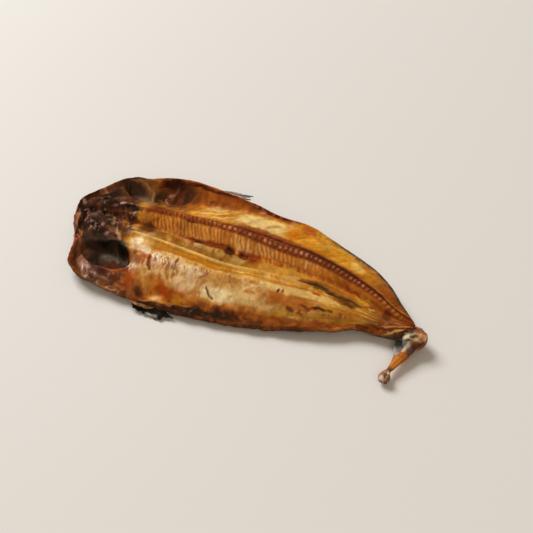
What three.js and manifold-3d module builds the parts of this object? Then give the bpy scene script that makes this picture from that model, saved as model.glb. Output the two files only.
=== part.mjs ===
// Grilled butterflied fish: a whole fish cut open along the belly, split through the head, laid out flat
// and grilled flesh side up, with its backbone in the far half, both breast fins and the tail bent to the
// near side. It is one piece of food, so it is one solid.
// Millimetres. X runs from snout to tail, Y from the near belly edge to the far one, Z up.
// The origin is the middle of the footprint, at the height of the underside.

import * as THREE from 'three';
import Module from 'manifold-3d';

const { clamp, degToRad, lerp, smoothstep } = THREE.MathUtils;
const wasm = await Module();
wasm.setup();

const GRILLED_FLESH = 0xb07a3a;

// Thicknesses
const RIM_THICKNESS = 4.4; // belly flaps, next to their edge
const EDGE_THICKNESS = 1.4; // what the rounding leaves at the very edge
const EDGE_ROUNDING = 3; // how far in from the edge the rounding reaches
const LEAST_THICKNESS = 3.2;
const FIN_THICKNESS = 1.8;

// Steps of the mesh
const LENGTH_STEPS = 88;
const NEAR_STEPS = 16; // near belly edge to fold
const BAND_STEPS = 8; // fold to backbone
const FAR_STEPS = 14; // backbone to far belly edge
const UNDERSIDE_STEPS = [5, 1, 4]; // the same three strips on the skin side
const TAIL_SIDES = 14;
const EDGE_CROWDING = 1.2; // above 1, mesh steps are finer towards the rims

// Edge of the opened fish, halfway up its thickness, as [x, y, z]
const NEAR_RIM = [
  [-108, -43.3, 10], [-83, -47.3, 7], [-48, -49, 6], [-12, -46.5, 6], [20, -41.5, 6.5], [57, -33.3, 9.5],
  [80, -27, 12], [98, -18, 11.5], [112, -15.4, 8.5], [126, -11, 11], [134, -4, 12],
];
const FAR_RIM = [
  [-115, 67.5, 26], [-104.5, 68.2, 24.5], [-97, 69, 27], [-87, 73.2, 28], [-68, 76, 29], [-45, 74.8, 28],
  [-10, 70.2, 25], [12, 66.6, 22.5], [38, 68, 19], [65, 60.7, 14], [95, 49.2, 10], [110, 38, 9],
  [124, 18, 10.5], [135, 3, 12],
];
const SNOUT_RIM = [
  [-108, -43.3, 10], [-117, -40, 9], [-127.3, -31, 9], [-131.8, -17, 10], [-139, -4.5, 8.5], [-151, 17, 9],
  [-155, 32, 11], [-151.5, 38.5, 15], [-137, 49, 22], [-125, 61, 26], [-115, 67.5, 26],
];
const TAIL_RIM = [[134, -4, 12], [136.5, -1, 11.5], [135, 3, 12]];

// Where the fold and the backbone run, as [x, y], between their ends on the snout rim and the tail rim
const FOLD = [
  [-140, 17], [-93, 14], [-60, 13], [-20, 10.5], [20, 11], [45, 12], [75, 9.5], [96, 4], [120, -2],
];
const BACKBONE = [
  [-130, 31], [-95, 33], [-60, 34.5], [-20, 35.5], [25, 32], [52, 30], [76, 25.5], [100, 17], [120, 6],
];
const FOLD_ENDS = { snout: 0.52, tail: 0.45 }; // shares of the rims there
const BACKBONE_ENDS = { snout: 0.66, tail: 0.6 };

// Heights of the upper face along the fish, as [x, height]
const FOLD_HEIGHT = [[-150, 12], [-125, 16], [-95, 14.5], [-20, 14], [45, 13], [96, 12.5], [134, 12.5]];
const FILLET_HEIGHT = [
  [-140, 12], [-112, 14], [-95, 18.5], [-70, 20.5], [-30, 21.5], [20, 20.5], [60, 18], [95, 15.5], [134, 13],
];
const BACKBONE_HEIGHT = [
  [-150, 14], [-130, 22], [-100, 24], [-60, 26], [5, 26.5], [30, 25.5], [52, 23.5], [76, 21], [100, 18],
  [120, 15.5], [134, 13.5],
];
const FLESH_HEIGHT = [
  [-150, 15], [-125, 23], [-95, 23], [-60, 22.5], [20, 23.5], [50, 22], [80, 18.5], [110, 14.5], [134, 13],
];

// Relief of the upper face
const RIDGE_GROOVE = 1.8; // beside the pale ridge along the fold
const BAND_STEP = 3.4; // cut edge of the flesh that hangs from the backbone
const SPINE_GROOVE = { depth: 3, from: -105, to: 135 }; // along the far side of the backbone
const VERTEBRA = { pitch: 8, relief: 0.6, from: -92, to: 60 };
const CRAGS = { relief: 1.3, pitch: 13, upTo: -96 }; // over the charred head
const HOLLOWS = [
  { name: 'near gill cavity', at: [-99, -20.5], half: [23, 12.5], turn: -12, floor: 5.5, wall: 0.3 },
  { name: 'far gill cavity', at: [-107, 51], half: [18, 8.5], turn: -22, floor: 15.5, wall: 0.45 },
  { name: 'pocket behind the far gill', at: [-79, 58], half: [15, 13], turn: 0, floor: 16.5, wall: 0.55 },
];
const CREASES = [
  { name: 'slit along the fillet', line: [[46, 9.5], [60, 9], [75, 6], [97, 0]], width: 5, depth: 2.4 },
  { name: 'crack behind the gill', line: [[-65, -15.5], [-58, -27]], width: 4.5, depth: 1.6 },
  { name: 'crack over the belly', line: [[-14, -25.5], [-7, -35]], width: 4.5, depth: 1.6 },
  { name: 'cut end of the fillet', line: [[-93, 8], [-82, -5], [-76, -16]], width: 7, depth: -1.6 },
  { name: 'rolled belly rim', line: [[-98, 65.5], [-86, 69.5], [-66, 72], [-46, 71]], width: 8, depth: -1 },
  { name: 'lower jaw bone', line: [[-117, -32], [-106, -38], [-70, -43.5]], width: 8, depth: -2.2 },
];

// Tail: rings [x, y, z, half width, half height] from inside the body to the curled tip
const TAIL = [
  [126, 2.5, 8.5, 4, 3], [131, 1.5, 9, 5, 3.8], [136, -1, 9, 6.5, 4.2], [138.3, -5, 8.8, 9.2, 4.4],
  [137, -10.5, 8, 8.3, 4.2], [136.3, -16, 7, 6.2, 3.5], [135.6, -21, 6.3, 3.8, 2.8],
  [134, -25.5, 6, 2.9, 2.4], [131, -30.5, 5.6, 2.7, 2.2], [128.6, -36, 5.2, 2.3, 1.9],
  [126.7, -40.5, 5, 2, 1.8], [125.3, -43.6, 4.8, 3, 2.4], [124.9, -47, 4.6, 4, 2.8],
  [124.9, -50.5, 4.4, 2.8, 1.8],
];

// Near breast fin, far breast fin and the web of the tail fin: fans from a root line to ray tips
const FINS = [
  {
    root: [[-66, -42, 4.6], [-50, -43, 4.2]],
    tips: [
      [-54, -52, 3], [-46, -55, 2.6], [-39.5, -57, 2.4], [-36, -54, 2.8], [-29, -51, 3], [-36, -48.5, 3.4],
    ],
  },
  {
    root: [[-42, 70, 23.5], [-58, 70, 23.5]],
    tips: [
      [-34, 72, 23], [-28, 76.5, 22.6], [-21, 81, 22.5], [-22, 84.5, 22.5], [-35, 84, 23], [-46, 81.5, 23.5],
    ],
  },
  {
    root: [[130.7, -29.6, 5.1], [136.2, -12.3, 6.1]],
    tips: [[126.4, -34, 4.7], [126.2, -26, 5], [125.8, -18, 5.3], [126.6, -12, 5.6]],
  },
];
const FIN_RAY_STEPS = 4;

const vector = ([x, y, z = 0]) => new THREE.Vector3(x, y, z);

// Smooth curve through points, run from 0 to 1 in proportion to its length
function curveThrough(points) {
  const curve = new THREE.CatmullRomCurve3(points.map(vector), false, 'centripetal');
  curve.arcLengthDivisions = 400;
  return (share) => curve.getPointAt(clamp(share, 0, 1));
}

// Smooth function through pairs [key, value], level beyond its ends
function smoothTable(pairs) {
  const slope = (i, j) => (pairs[j][1] - pairs[i][1]) / (pairs[j][0] - pairs[i][0]);
  const last = pairs.length - 1;
  const slopes = pairs.map((_, i) => (i === 0 || i === last ? 0 : (slope(i - 1, i) + slope(i, i + 1)) / 2));
  return (key) => {
    if (key <= pairs[0][0]) return pairs[0][1];
    if (key >= pairs[last][0]) return pairs[last][1];
    const i = pairs.findIndex((pair, j) => j < last && key < pairs[j + 1][0]);
    const [x0, y0] = pairs[i];
    const [x1, y1] = pairs[i + 1];
    const span = x1 - x0;
    const t = (key - x0) / span;
    const rise = y1 - y0;
    const start = slopes[i] * span;
    const end = slopes[i + 1] * span;
    return y0 + start * t + (3 * rise - 2 * start - end) * t ** 2 + (start + end - 2 * rise) * t ** 3;
  };
}

const snoutRim = curveThrough(SNOUT_RIM);
const tailRim = curveThrough(TAIL_RIM);

// Line along the fish whose ends lie on the snout rim and the tail rim
function lineBetweenRims(points, ends) {
  const start = snoutRim(ends.snout).toArray();
  const end = tailRim(ends.tail).toArray();
  return curveThrough([start, ...points.map(([x, y]) => [x, y, 0]), end]);
}

// The four lines that carry the surface, from near to far, with their shares of the end rims
const GUIDES = [
  { line: curveThrough(NEAR_RIM), snout: 0, tail: 0 },
  { line: lineBetweenRims(FOLD, FOLD_ENDS), ...FOLD_ENDS },
  { line: lineBetweenRims(BACKBONE, BACKBONE_ENDS), ...BACKBONE_ENDS },
  { line: curveThrough(FAR_RIM), snout: 1, tail: 1 },
];
const GUIDE_LENGTH = 290; // about the length of each
const HEAD_REACH = 0.3; // share of the length over which the snout rim bends the surface
const TAIL_REACH = 0.06;

// Plan position at a share of the length, in a strip between two guides, at a share across that strip
function planPoint(along, strip, across) {
  const low = GUIDES[strip];
  const high = GUIDES[strip + 1];
  const straight = (share) => low.line(share).lerp(high.line(share), across);
  const headPull = Math.max(0, 1 - along / HEAD_REACH) ** 2;
  const tailPull = Math.max(0, 1 - (1 - along) / TAIL_REACH) ** 2;
  const headGap = snoutRim(lerp(low.snout, high.snout, across)).sub(straight(0));
  const tailGap = tailRim(lerp(low.tail, high.tail, across)).sub(straight(1));
  return straight(along).addScaledVector(headGap, headPull).addScaledVector(tailGap, tailPull);
}

// Height of the rims, blended over the whole fish, at a share of the way from the near rim to the far one
function rimHeight(along, acrossFish) {
  const between = (share) => lerp(GUIDES[0].line(share).z, GUIDES[3].line(share).z, acrossFish);
  const snoutGap = snoutRim(acrossFish).z - between(0);
  return between(along) + snoutGap * Math.max(0, 1 - along / HEAD_REACH) ** 2;
}

const foldHeight = smoothTable(FOLD_HEIGHT);
const filletHeight = smoothTable(FILLET_HEIGHT);
const backboneHeight = smoothTable(BACKBONE_HEIGHT);
const fleshHeight = smoothTable(FLESH_HEIGHT);

// Profiles across the three strips, before hollows and creases, as [share across the strip, height]
const PROFILES = [
  (x, share, rimTop) => {
    const fold = foldHeight(x);
    const crown = filletHeight(x);
    return smoothTable([
      [0, rimTop], [0.13, lerp(rimTop, crown, 0.16)], [0.24, lerp(rimTop, crown, 0.52)], [0.6, crown],
      [0.82, lerp(fold, crown, 0.55)], [0.91, fold - RIDGE_GROOVE], [1, fold],
    ])(share);
  },
  (x, share) => {
    const fold = foldHeight(x);
    const backbone = backboneHeight(x);
    const foot = Math.min(fold + BAND_STEP, backbone - 1);
    return smoothTable([
      [0, fold], [0.28, fold + 0.6], [0.42, fold + 0.2], [0.55, foot],
      [0.85, lerp(foot, backbone, 0.8)], [1, backbone],
    ])(share);
  },
  (x, share, rimTop) => {
    const backbone = backboneHeight(x);
    const flesh = fleshHeight(x);
    const { depth, from, to } = SPINE_GROOVE;
    const fade = smoothstep(x, from, from + 20) * smoothstep(to - x, 0, 60);
    const groove = Math.min(backbone, flesh) - depth * fade;
    return smoothTable([
      [0, backbone], [0.14, groove], [0.3, flesh], [0.62, flesh + 0.4],
      [0.86, lerp(flesh, rimTop, 0.7)], [1, rimTop],
    ])(share);
  },
];

// How deep inside a turned oval a place is, from 0 at its edge to 1 past its wall
function insideOval(x, y, { at, half, turn, wall }) {
  const angle = degToRad(turn);
  const dx = x - at[0];
  const dy = y - at[1];
  const a = (dx * Math.cos(angle) + dy * Math.sin(angle)) / half[0];
  const b = (dy * Math.cos(angle) - dx * Math.sin(angle)) / half[1];
  return smoothstep(1 - Math.hypot(a, b), 0, wall);
}

// Distance from a place to a line of points
function distanceToLine(x, y, line) {
  const distances = line.slice(1).map(([x1, y1], i) => {
    const [x0, y0] = line[i];
    const along = ((x - x0) * (x1 - x0) + (y - y0) * (y1 - y0)) / ((x1 - x0) ** 2 + (y1 - y0) ** 2);
    const t = clamp(along, 0, 1);
    return Math.hypot(x - lerp(x0, x1, t), y - lerp(y0, y1, t));
  });
  return Math.min(...distances);
}

// Uneven lumps of the charred head
function crags(x, y) {
  const turn = (2 * Math.PI) / CRAGS.pitch;
  const lumps = Math.sin(turn * (x + 0.4 * y)) * Math.sin(turn * (y - 0.3 * x) * 1.2);
  return CRAGS.relief * lumps * smoothstep(CRAGS.upTo - x, 0, 12);
}

// Beads of the backbone
function vertebrae(x, strip, share) {
  const { pitch, relief, from, to } = VERTEBRA;
  const near = strip === 1 ? smoothstep(share, 0.8, 1) : strip === 2 ? 1 - smoothstep(share, 0, 0.08) : 0;
  const reach = smoothstep(x, from, from + pitch) * (1 - smoothstep(x, to - pitch, to));
  return relief * near * reach * Math.cos((2 * Math.PI * x) / pitch);
}

// How far in from the nearest edge a place lies
function edgeInset(along, strip, share) {
  const width = GUIDES[strip].line(along).distanceTo(GUIDES[strip + 1].line(along));
  const fromSide = [share * width, Infinity, (1 - share) * width][strip];
  return Math.min(fromSide, along * GUIDE_LENGTH);
}

// Upper face and underside at one place of the opened fish
function faces(along, strip, share) {
  const place = planPoint(along, strip, share);
  const { x, y } = place;
  const acrossFish = lerp(GUIDES[strip].snout, GUIDES[strip + 1].snout, share);
  const rim = rimHeight(along, acrossFish);
  let upper = PROFILES[strip](x, share, rim + RIM_THICKNESS / 2);
  upper += crags(x, y) + vertebrae(x, strip, share);
  for (const hollow of HOLLOWS) upper = lerp(upper, Math.min(upper, hollow.floor), insideOval(x, y, hollow));
  for (const { line, width, depth } of CREASES) {
    upper -= depth * (1 - smoothstep(distanceToLine(x, y, line), 0, width / 2));
  }

  // The underside is flat where it lies and rises like a shallow bowl to the rims
  const outward = Math.abs(2 * acrossFish - 1);
  const sideRise = smoothstep(outward, 0.5, 1.02) ** 1.3;
  const snoutRise = 1 - smoothstep(along, 0, 0.13);
  const tailRise = 0.6 * smoothstep(along, 0.93, 1);
  const rise = Math.max(sideRise, snoutRise, tailRise);
  let lower = (rim - RIM_THICKNESS / 2) * rise;

  // At the snout the upper face comes down to the rim as well
  const atSnout = 1 - smoothstep(along, 0, 0.06);
  upper = lerp(upper, rim + RIM_THICKNESS / 2, atSnout);
  upper = Math.max(upper, lower + LEAST_THICKNESS);

  // Both faces close in on the rim in a rounded edge
  const inset = clamp(edgeInset(along, strip, share) / EDGE_ROUNDING, 0, 1);
  const open = Math.sqrt(1 - (1 - inset) ** 2);
  const kept = lerp(EDGE_THICKNESS / RIM_THICKNESS, 1, open);
  const middle = (upper + lower) / 2;
  upper = lerp(middle, upper, kept);
  lower = lerp(middle, lower, kept);
  return { x, y, upper, lower };
}

// Places across the fish, closer together towards both side rims
const closerAtStart = (share) => share ** EDGE_CROWDING;
const closerAtEnd = (share) => 1 - closerAtStart(1 - share);
function stations(steps) {
  const strips = steps.map((count, strip) => {
    const spread = [closerAtStart, (share) => share, closerAtEnd][strip];
    return Array.from({ length: count }, (_, i) => ({ strip, share: spread(i / count) }));
  });
  return [...strips.flat(), { strip: 2, share: 1 }];
}

// Closed mesh from rings of equal length. An end is closed between the two chains of its ring, the second of
// which starts at index turn.
function closedRings(rings, turn) {
  const size = rings[0].length;
  const positions = rings.flat().flatMap((point) => point.toArray());
  const triangles = [];
  for (let i = 0; i + 1 < rings.length; i += 1) {
    for (let j = 0; j < size; j += 1) {
      const [a, b] = [i * size + j, i * size + ((j + 1) % size)];
      triangles.push(a, b + size, b, a, a + size, b + size);
    }
  }
  [0, (rings.length - 1) * size].forEach((first, end) => {
    let low = 0;
    let high = size - 1;
    while (high - low > 1) {
      const stepLow = low / turn < (size - 1 - high) / (size - turn);
      const corner = stepLow ? low + 1 : high - 1;
      const triangle = [first + low, first + corner, first + high];
      triangles.push(...(end === 0 ? triangle : triangle.reverse()));
      if (stepLow) low += 1;
      else high -= 1;
    }
  });
  return { positions, triangles };
}

// The opened fish without its fins and tail
function openedFish() {
  const above = stations([NEAR_STEPS, BAND_STEPS, FAR_STEPS]);
  const below = stations(UNDERSIDE_STEPS).reverse();
  const rings = Array.from({ length: LENGTH_STEPS + 1 }, (_, i) => {
    const along = (i / LENGTH_STEPS) ** EDGE_CROWDING;
    const upper = above.map(({ strip, share }) => {
      const at = faces(along, strip, share);
      return vector([at.x, at.y, at.upper]);
    });
    const lower = below.map(({ strip, share }) => {
      const at = faces(along, strip, share);
      return vector([at.x, at.y, at.lower]);
    });
    return [...upper, ...lower];
  });
  return closedRings(rings, above.length);
}

// Tail stalk and bunched tail fin: an oval carried along a bent line
function bentTail() {
  const rings = TAIL.map(([x, y, z, halfWidth, halfHeight], i) => {
    const before = TAIL[Math.max(0, i - 1)];
    const after = TAIL[Math.min(TAIL.length - 1, i + 1)];
    const side = vector([after[1] - before[1], before[0] - after[0]]).normalize();
    return Array.from({ length: TAIL_SIDES }, (_, j) => {
      const angle = (2 * Math.PI * j) / TAIL_SIDES;
      const point = vector([x, y, z + halfHeight * Math.sin(angle)]);
      return point.addScaledVector(side, halfWidth * Math.cos(angle));
    });
  });
  return closedRings(rings, TAIL_SIDES / 2);
}

// Fan of fin rays as one thin blade
function finBlade({ root, tips }) {
  const [start, end] = root.map(vector);
  const rows = Array.from({ length: FIN_RAY_STEPS + 1 }, (_, i) => {
    const out = i / FIN_RAY_STEPS;
    const half = (FIN_THICKNESS / 2) * (1 - 0.5 * out);
    const foot = (j) => start.clone().lerp(end, j / (tips.length - 1));
    const middle = tips.map((tip, j) => foot(j).lerp(vector(tip), out));
    const upper = middle.map((point) => point.clone().setZ(point.z + half));
    const lower = middle.map((point) => point.clone().setZ(point.z - half)).reverse();
    return [...upper, ...lower];
  });
  return closedRings(rows, tips.length);
}

function solidFrom({ positions, triangles }) {
  const mesh = new wasm.Mesh({
    numProp: 3,
    vertProperties: new Float32Array(positions),
    triVerts: new Uint32Array(triangles),
  });
  return new wasm.Manifold(mesh);
}

function geometryFrom(solid) {
  const { vertProperties, triVerts } = solid.getMesh();
  const geometry = new THREE.BufferGeometry();
  geometry.setAttribute('position', new THREE.BufferAttribute(vertProperties, 3));
  geometry.setIndex(new THREE.BufferAttribute(triVerts, 1));
  geometry.computeBoundingBox();
  const middle = geometry.boundingBox.getCenter(new THREE.Vector3());
  geometry.translate(-middle.x, -middle.y, -geometry.boundingBox.min.z);
  geometry.computeVertexNormals();
  return geometry;
}

const pieces = [openedFish(), bentTail(), ...FINS.map(finBlade)].map(solidFrom);
const joined = pieces.reduce((whole, piece) => whole.add(piece));
// The outermost surface alone, so that a hollow which the joining seals is filled
const outermost = joined.decompose().reduce((a, b) => (a.volume() > b.volume() ? a : b));

const flesh = new THREE.MeshStandardMaterial({ color: GRILLED_FLESH, roughness: 0.45, metalness: 0 });
const grilledFish = new THREE.Mesh(geometryFrom(outermost), flesh);
grilledFish.name = 'grilled_fish';

const group = new THREE.Group();
group.add(grilledFish);
export default group;
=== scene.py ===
# Looks of the grilled butterflied fish: its opened body, bent tail and two breast fins, as fine meshes that
# stand for the solid node of the frame, with a floor, soft light and the camera.
import math

import bpy
import numpy as np
from mathutils import Matrix, Vector


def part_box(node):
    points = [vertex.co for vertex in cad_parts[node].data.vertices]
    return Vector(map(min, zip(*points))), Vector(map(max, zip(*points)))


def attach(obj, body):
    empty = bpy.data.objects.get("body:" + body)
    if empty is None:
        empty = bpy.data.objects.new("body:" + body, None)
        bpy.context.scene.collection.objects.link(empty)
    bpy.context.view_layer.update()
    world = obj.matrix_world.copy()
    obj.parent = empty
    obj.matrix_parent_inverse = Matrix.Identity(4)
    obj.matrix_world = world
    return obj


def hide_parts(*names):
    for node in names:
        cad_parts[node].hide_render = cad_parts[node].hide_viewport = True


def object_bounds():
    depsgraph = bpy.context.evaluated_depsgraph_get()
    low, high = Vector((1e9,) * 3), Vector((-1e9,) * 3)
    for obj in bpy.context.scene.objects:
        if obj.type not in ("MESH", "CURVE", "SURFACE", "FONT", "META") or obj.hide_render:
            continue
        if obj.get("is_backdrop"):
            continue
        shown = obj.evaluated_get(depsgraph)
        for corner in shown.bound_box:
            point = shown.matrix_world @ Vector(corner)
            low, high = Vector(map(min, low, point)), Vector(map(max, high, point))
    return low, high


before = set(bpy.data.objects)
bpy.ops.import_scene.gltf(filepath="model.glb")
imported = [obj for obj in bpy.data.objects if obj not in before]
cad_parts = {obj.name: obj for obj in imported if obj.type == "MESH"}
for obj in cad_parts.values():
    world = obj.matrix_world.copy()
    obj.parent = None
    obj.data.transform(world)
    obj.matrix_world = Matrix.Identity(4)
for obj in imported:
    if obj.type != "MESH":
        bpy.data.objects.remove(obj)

NODE = "grilled_fish"
CAD_BOX = [list(corner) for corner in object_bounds()]

# Sizes of the fish are in millimetres, as in the drawing that the solid was made from: X runs from snout to
# tail, Y from the near belly edge to the far one, Z is up. place() moves them onto the node of the frame.
MILLIMETRE = 0.001

# Thicknesses, and how the edge is rounded and waved
RIM_THICKNESS = 4.4
EDGE_THICKNESS = 1.4
EDGE_ROUNDING = 3.0  # how far in from the edge the rounding goes
EDGE_WAVE = 0.8  # how far the edge waves up and down
LEAST_THICKNESS = 3.2
FIN_THICKNESS = 0.5

# Steps of the body's mesh, and of the lines that it is measured from
LENGTH_STEPS = 440
UPPER_STEPS = (76, 40, 66)
LOWER_STEPS = (14, 6, 12)
LENGTH_CROWDING = 1.12  # above 1, steps are shorter at the head
EDGE_CROWDING = 1.35  # above 1, steps are narrower at the two side rims
GUIDE_SAMPLES = 600
RIM_SAMPLES = 2000

# Edge of the opened fish, halfway up its thickness
NEAR_RIM = [
    (-108, -43.3, 10), (-83, -46.6, 6.2), (-48, -48.2, 4.6), (-12, -46.3, 3.8), (20, -41.2, 3.8),
    (56.3, -31.8, 5.8), (79, -23.8, 7.4), (97.2, -15.2, 7.6), (111.5, -13.9, 7), (126, -10.5, 10.4),
    (134, -4, 12),
]
FAR_RIM = [
    (-115, 65.3, 25.6), (-104.5, 67.6, 24.5), (-97, 69, 26.5), (-87, 73.2, 27), (-68, 76, 27.6),
    (-45, 74.8, 26.8), (-10, 70.2, 25), (12, 66.6, 22.5), (38, 68, 19), (65, 60.7, 14), (95, 49.2, 10),
    (110, 38, 9), (124, 18, 10.5), (135, 3, 12),
]
SNOUT_RIM = [
    (-108, -43.3, 10), (-117, -40, 9), (-127.3, -31, 9), (-131.8, -17, 10), (-139, -4.5, 8.5), (-151, 17, 9),
    (-155, 30, 11), (-152, 35.4, 14.6), (-137, 45.8, 21.6), (-125, 57.6, 25.6), (-115, 65.3, 25.6),
]
TAIL_RIM = [(134, -4, 12), (136.5, -1, 11.5), (135, 3, 12)]

# Where the fold and the backbone run, and the shares of the end rims where they end
FOLD = [
    (-140, 17), (-93, 12.5), (-75, 12.3), (-60, 11), (-40, 9.2), (-20, 6.9), (-5, 7), (10, 9), (24, 10.2),
    (45, 10.8), (75, 8.8), (96, 4), (120, -2),
]
BACKBONE = [
    (-130, 31), (-95, 33), (-60, 34.5), (-20, 35.5), (25, 32), (52, 30), (76, 25.5), (100, 17), (120, 6),
]
FOLD_ENDS = (0.52, 0.45)
BACKBONE_ENDS = (0.66, 0.6)

# Heights of the upper face along the fish
FOLD_HEIGHT = [(-150, 12), (-125, 16), (-95, 14.5), (-20, 14), (45, 13), (96, 12.5), (134, 12.5)]
FILLET_HEIGHT = [
    (-140, 12), (-112, 14), (-95, 18.5), (-70, 20.5), (-30, 21.5), (20, 20.5), (60, 18), (95, 15.5),
    (134, 13),
]
BACKBONE_HEIGHT = [
    (-150, 14), (-130, 22), (-100, 24), (-60, 26), (5, 26.5), (30, 25.5), (52, 23.5), (76, 21), (100, 18),
    (120, 15.5), (134, 13.5),
]
FLESH_HEIGHT = [
    (-150, 15), (-125, 23), (-95, 23), (-60, 22.5), (20, 23.5), (50, 22), (80, 18.5), (110, 14.5), (134, 13),
]

# Hollows as (middle, half sizes, turn in degrees, floor height, share of the half size that is wall)
NEAR_GILL = ((-100, -19.5), (26, 13.4), -13, 5, 0.33)
FAR_GILL = ((-107, 51), (18, 8.5), -22, 15.5, 0.45)
BELLY_POCKET = ((-79, 58), (19, 15), 0, 16.5, 0.8)
HOLLOWS = (NEAR_GILL, FAR_GILL, BELLY_POCKET)

HEAD_REACH = 0.3  # shares of the length over which the snout and tail rims shape the plan
TAIL_REACH = 0.06
HEAD_EDGE = (-104, -92)  # along X, where the charred head passes into the body
AXIS_ENDS = (-115, 125)  # of the line that the torn edges draw back to
AXIS_Y = 12
FISH_LENGTH = 290.0
NEAREST_Y = -57.0  # where the solid's near fin ends
RIDGE_GROOVE = 0.6  # depth of the groove before the fold
BAND_STEP = 3.4  # height of the band's foot over the fold
SPINE_GROOVE = 0.3  # depth of the groove beyond the backbone

# Colours as seen on the food, as display values from 0 to 255
PALE = (210, 156, 78)
GOLD = (198, 136, 40)
AMBER = (178, 104, 34)
RUST = (142, 70, 30)
BROWN = (104, 60, 32)
UMBER = (66, 40, 26)
# painted shade, for the deep hollow of the near gill
HOLLOW_SHADE = (50, 38, 30)
TAN = (168, 112, 46)
SILVER = (172, 154, 134)
FIN_BLACK = (34, 31, 22)


# Numbers

def lerp(a, b, share):
    return a + (b - a) * share


def ramp(value, low, high):
    """From 0 at low to 1 at high, level beyond both."""
    share = np.clip((value - low) / (high - low), 0, 1)
    return share * share * (3 - 2 * share)


def fall(value, low, high):
    return 1 - ramp(value, low, high)


def between(value, low, high, soft):
    """1 from low to high, with soft ends."""
    return ramp(value, low - soft, low + soft) * fall(value, high - soft, high + soft)


def wave(turns):
    """1 at each whole number of turns, 0 halfway between them."""
    return 0.5 + 0.5 * np.cos(2 * np.pi * turns)


def bend(a, b, start, end, t):
    """Smooth way from a to b, for t from 0 to 1, with the slopes that it starts and ends with."""
    rise = b - a
    return a + start * t + (3 * rise - 2 * start - end) * t**2 + (start + end - 2 * rise) * t**3


def curve_through(points, steps=80):
    """Smooth curve through points, as a function of the share of its length."""
    points = np.array(points, float)
    padded = np.vstack([2 * points[0] - points[1], points, 2 * points[-1] - points[-2]])
    t = np.linspace(0, 1, steps, endpoint=False)[:, None]
    pieces = []
    for i in range(len(points) - 1):
        p0, p1, p2, p3 = padded[i : i + 4]
        d0, d1, d2 = (np.linalg.norm(b - a) ** 0.5 for a, b in ((p0, p1), (p1, p2), (p2, p3)))
        start = ((p1 - p0) / d0 - (p2 - p0) / (d0 + d1) + (p2 - p1) / d1) * d1
        end = ((p2 - p1) / d1 - (p3 - p1) / (d1 + d2) + (p3 - p2) / d2) * d1
        pieces.append(bend(p1, p2, start, end, t))
    line = np.vstack([*pieces, points[-1:]])
    length = np.concatenate([[0], np.cumsum(np.linalg.norm(np.diff(line, axis=0), axis=1))])

    def at(share):
        distance = np.clip(share, 0, 1) * length[-1]
        return np.stack([np.interp(distance, length, line[:, axis]) for axis in range(line.shape[1])], -1)

    return at


def smooth_run(keys, values, at):
    """Smooth run through values at keys, level beyond both ends. The values may be arrays."""
    steps = range(len(keys) - 1)
    slope = [(values[i + 1] - values[i]) / (keys[i + 1] - keys[i]) for i in steps]
    slopes = [0 * slope[0], *((a + b) / 2 for a, b in zip(slope, slope[1:])), 0 * slope[0]]
    result = values[0] + 0 * at
    for i in steps:
        span = keys[i + 1] - keys[i]
        t = np.clip((at - keys[i]) / span, 0, 1)
        piece = bend(values[i], values[i + 1], slopes[i] * span, slopes[i + 1] * span, t)
        result = np.where(at > keys[i], piece, result)
    return result


def smooth_table(pairs, at):
    keys, values = zip(*pairs)
    return smooth_run(keys, [float(value) for value in values], at)


LATTICE = 256


def noise(x, y, size, seed):
    """Smooth random field of about -1 to 1 with lumps of the given size."""
    lattice = np.random.default_rng(seed).uniform(-1, 1, (LATTICE, LATTICE))
    u, v = x / size, y / size
    column, row = np.floor(u).astype(int), np.floor(v).astype(int)
    s, t = u - column, v - row
    s, t = s * s * (3 - 2 * s), t * t * (3 - 2 * t)
    corner = lambda i, j: lattice[(row + j) % LATTICE, (column + i) % LATTICE]
    return 1.4 * lerp(lerp(corner(0, 0), corner(1, 0), s), lerp(corner(0, 1), corner(1, 1), s), t)


def cloud(x, y, size, seed, octaves=4, rough=0.55):
    """Sum of noise fields, each half the size of the one before."""
    total, weight, whole = 0, 1, 0
    for octave in range(octaves):
        turn = 0.7 * octave
        u = x * math.cos(turn) + y * math.sin(turn)
        v = y * math.cos(turn) - x * math.sin(turn)
        total = total + weight * noise(u, v, size / 2**octave, seed + octave)
        whole += weight**2
        weight *= rough
    return total / math.sqrt(whole)


# The surface that the solid has too

snout_rim = curve_through(SNOUT_RIM)
tail_rim = curve_through(TAIL_RIM)


def line_between_rims(points, ends):
    start = snout_rim(np.array(ends[0]))
    end = tail_rim(np.array(ends[1]))
    return curve_through([start, *[(x, y, 0) for x, y in points], end])


# The four lines that carry the surface, each with its share of the snout rim and of the tail rim
GUIDES = (
    (curve_through(NEAR_RIM), 0.0, 0.0),
    (line_between_rims(FOLD, FOLD_ENDS), *FOLD_ENDS),
    (line_between_rims(BACKBONE, BACKBONE_ENDS), *BACKBONE_ENDS),
    (curve_through(FAR_RIM), 1.0, 1.0),
)


def plan_point(along, strip, across):
    """Plan position at shares of the length and shares across the strip between two guides."""
    low, low_snout, low_tail = GUIDES[strip]
    high, high_snout, high_tail = GUIDES[strip + 1]
    straight = lambda share: lerp(low(share), high(share), across[..., None])
    head_pull = np.maximum(0, 1 - along / HEAD_REACH)[..., None] ** 2
    tail_pull = np.maximum(0, 1 - (1 - along) / TAIL_REACH)[..., None] ** 2
    head_gap = snout_rim(lerp(low_snout, high_snout, across)) - straight(0 * along)
    tail_gap = tail_rim(lerp(low_tail, high_tail, across)) - straight(0 * along + 1)
    return straight(along) + head_gap * head_pull + tail_gap * tail_pull


def rim_height(along, across_fish):
    near, far = GUIDES[0][0], GUIDES[3][0]
    straight = lambda share: lerp(near(share)[..., 2], far(share)[..., 2], across_fish)
    snout_gap = snout_rim(across_fish)[..., 2] - straight(0 * along)
    return straight(along) + snout_gap * np.maximum(0, 1 - along / HEAD_REACH) ** 2


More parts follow.
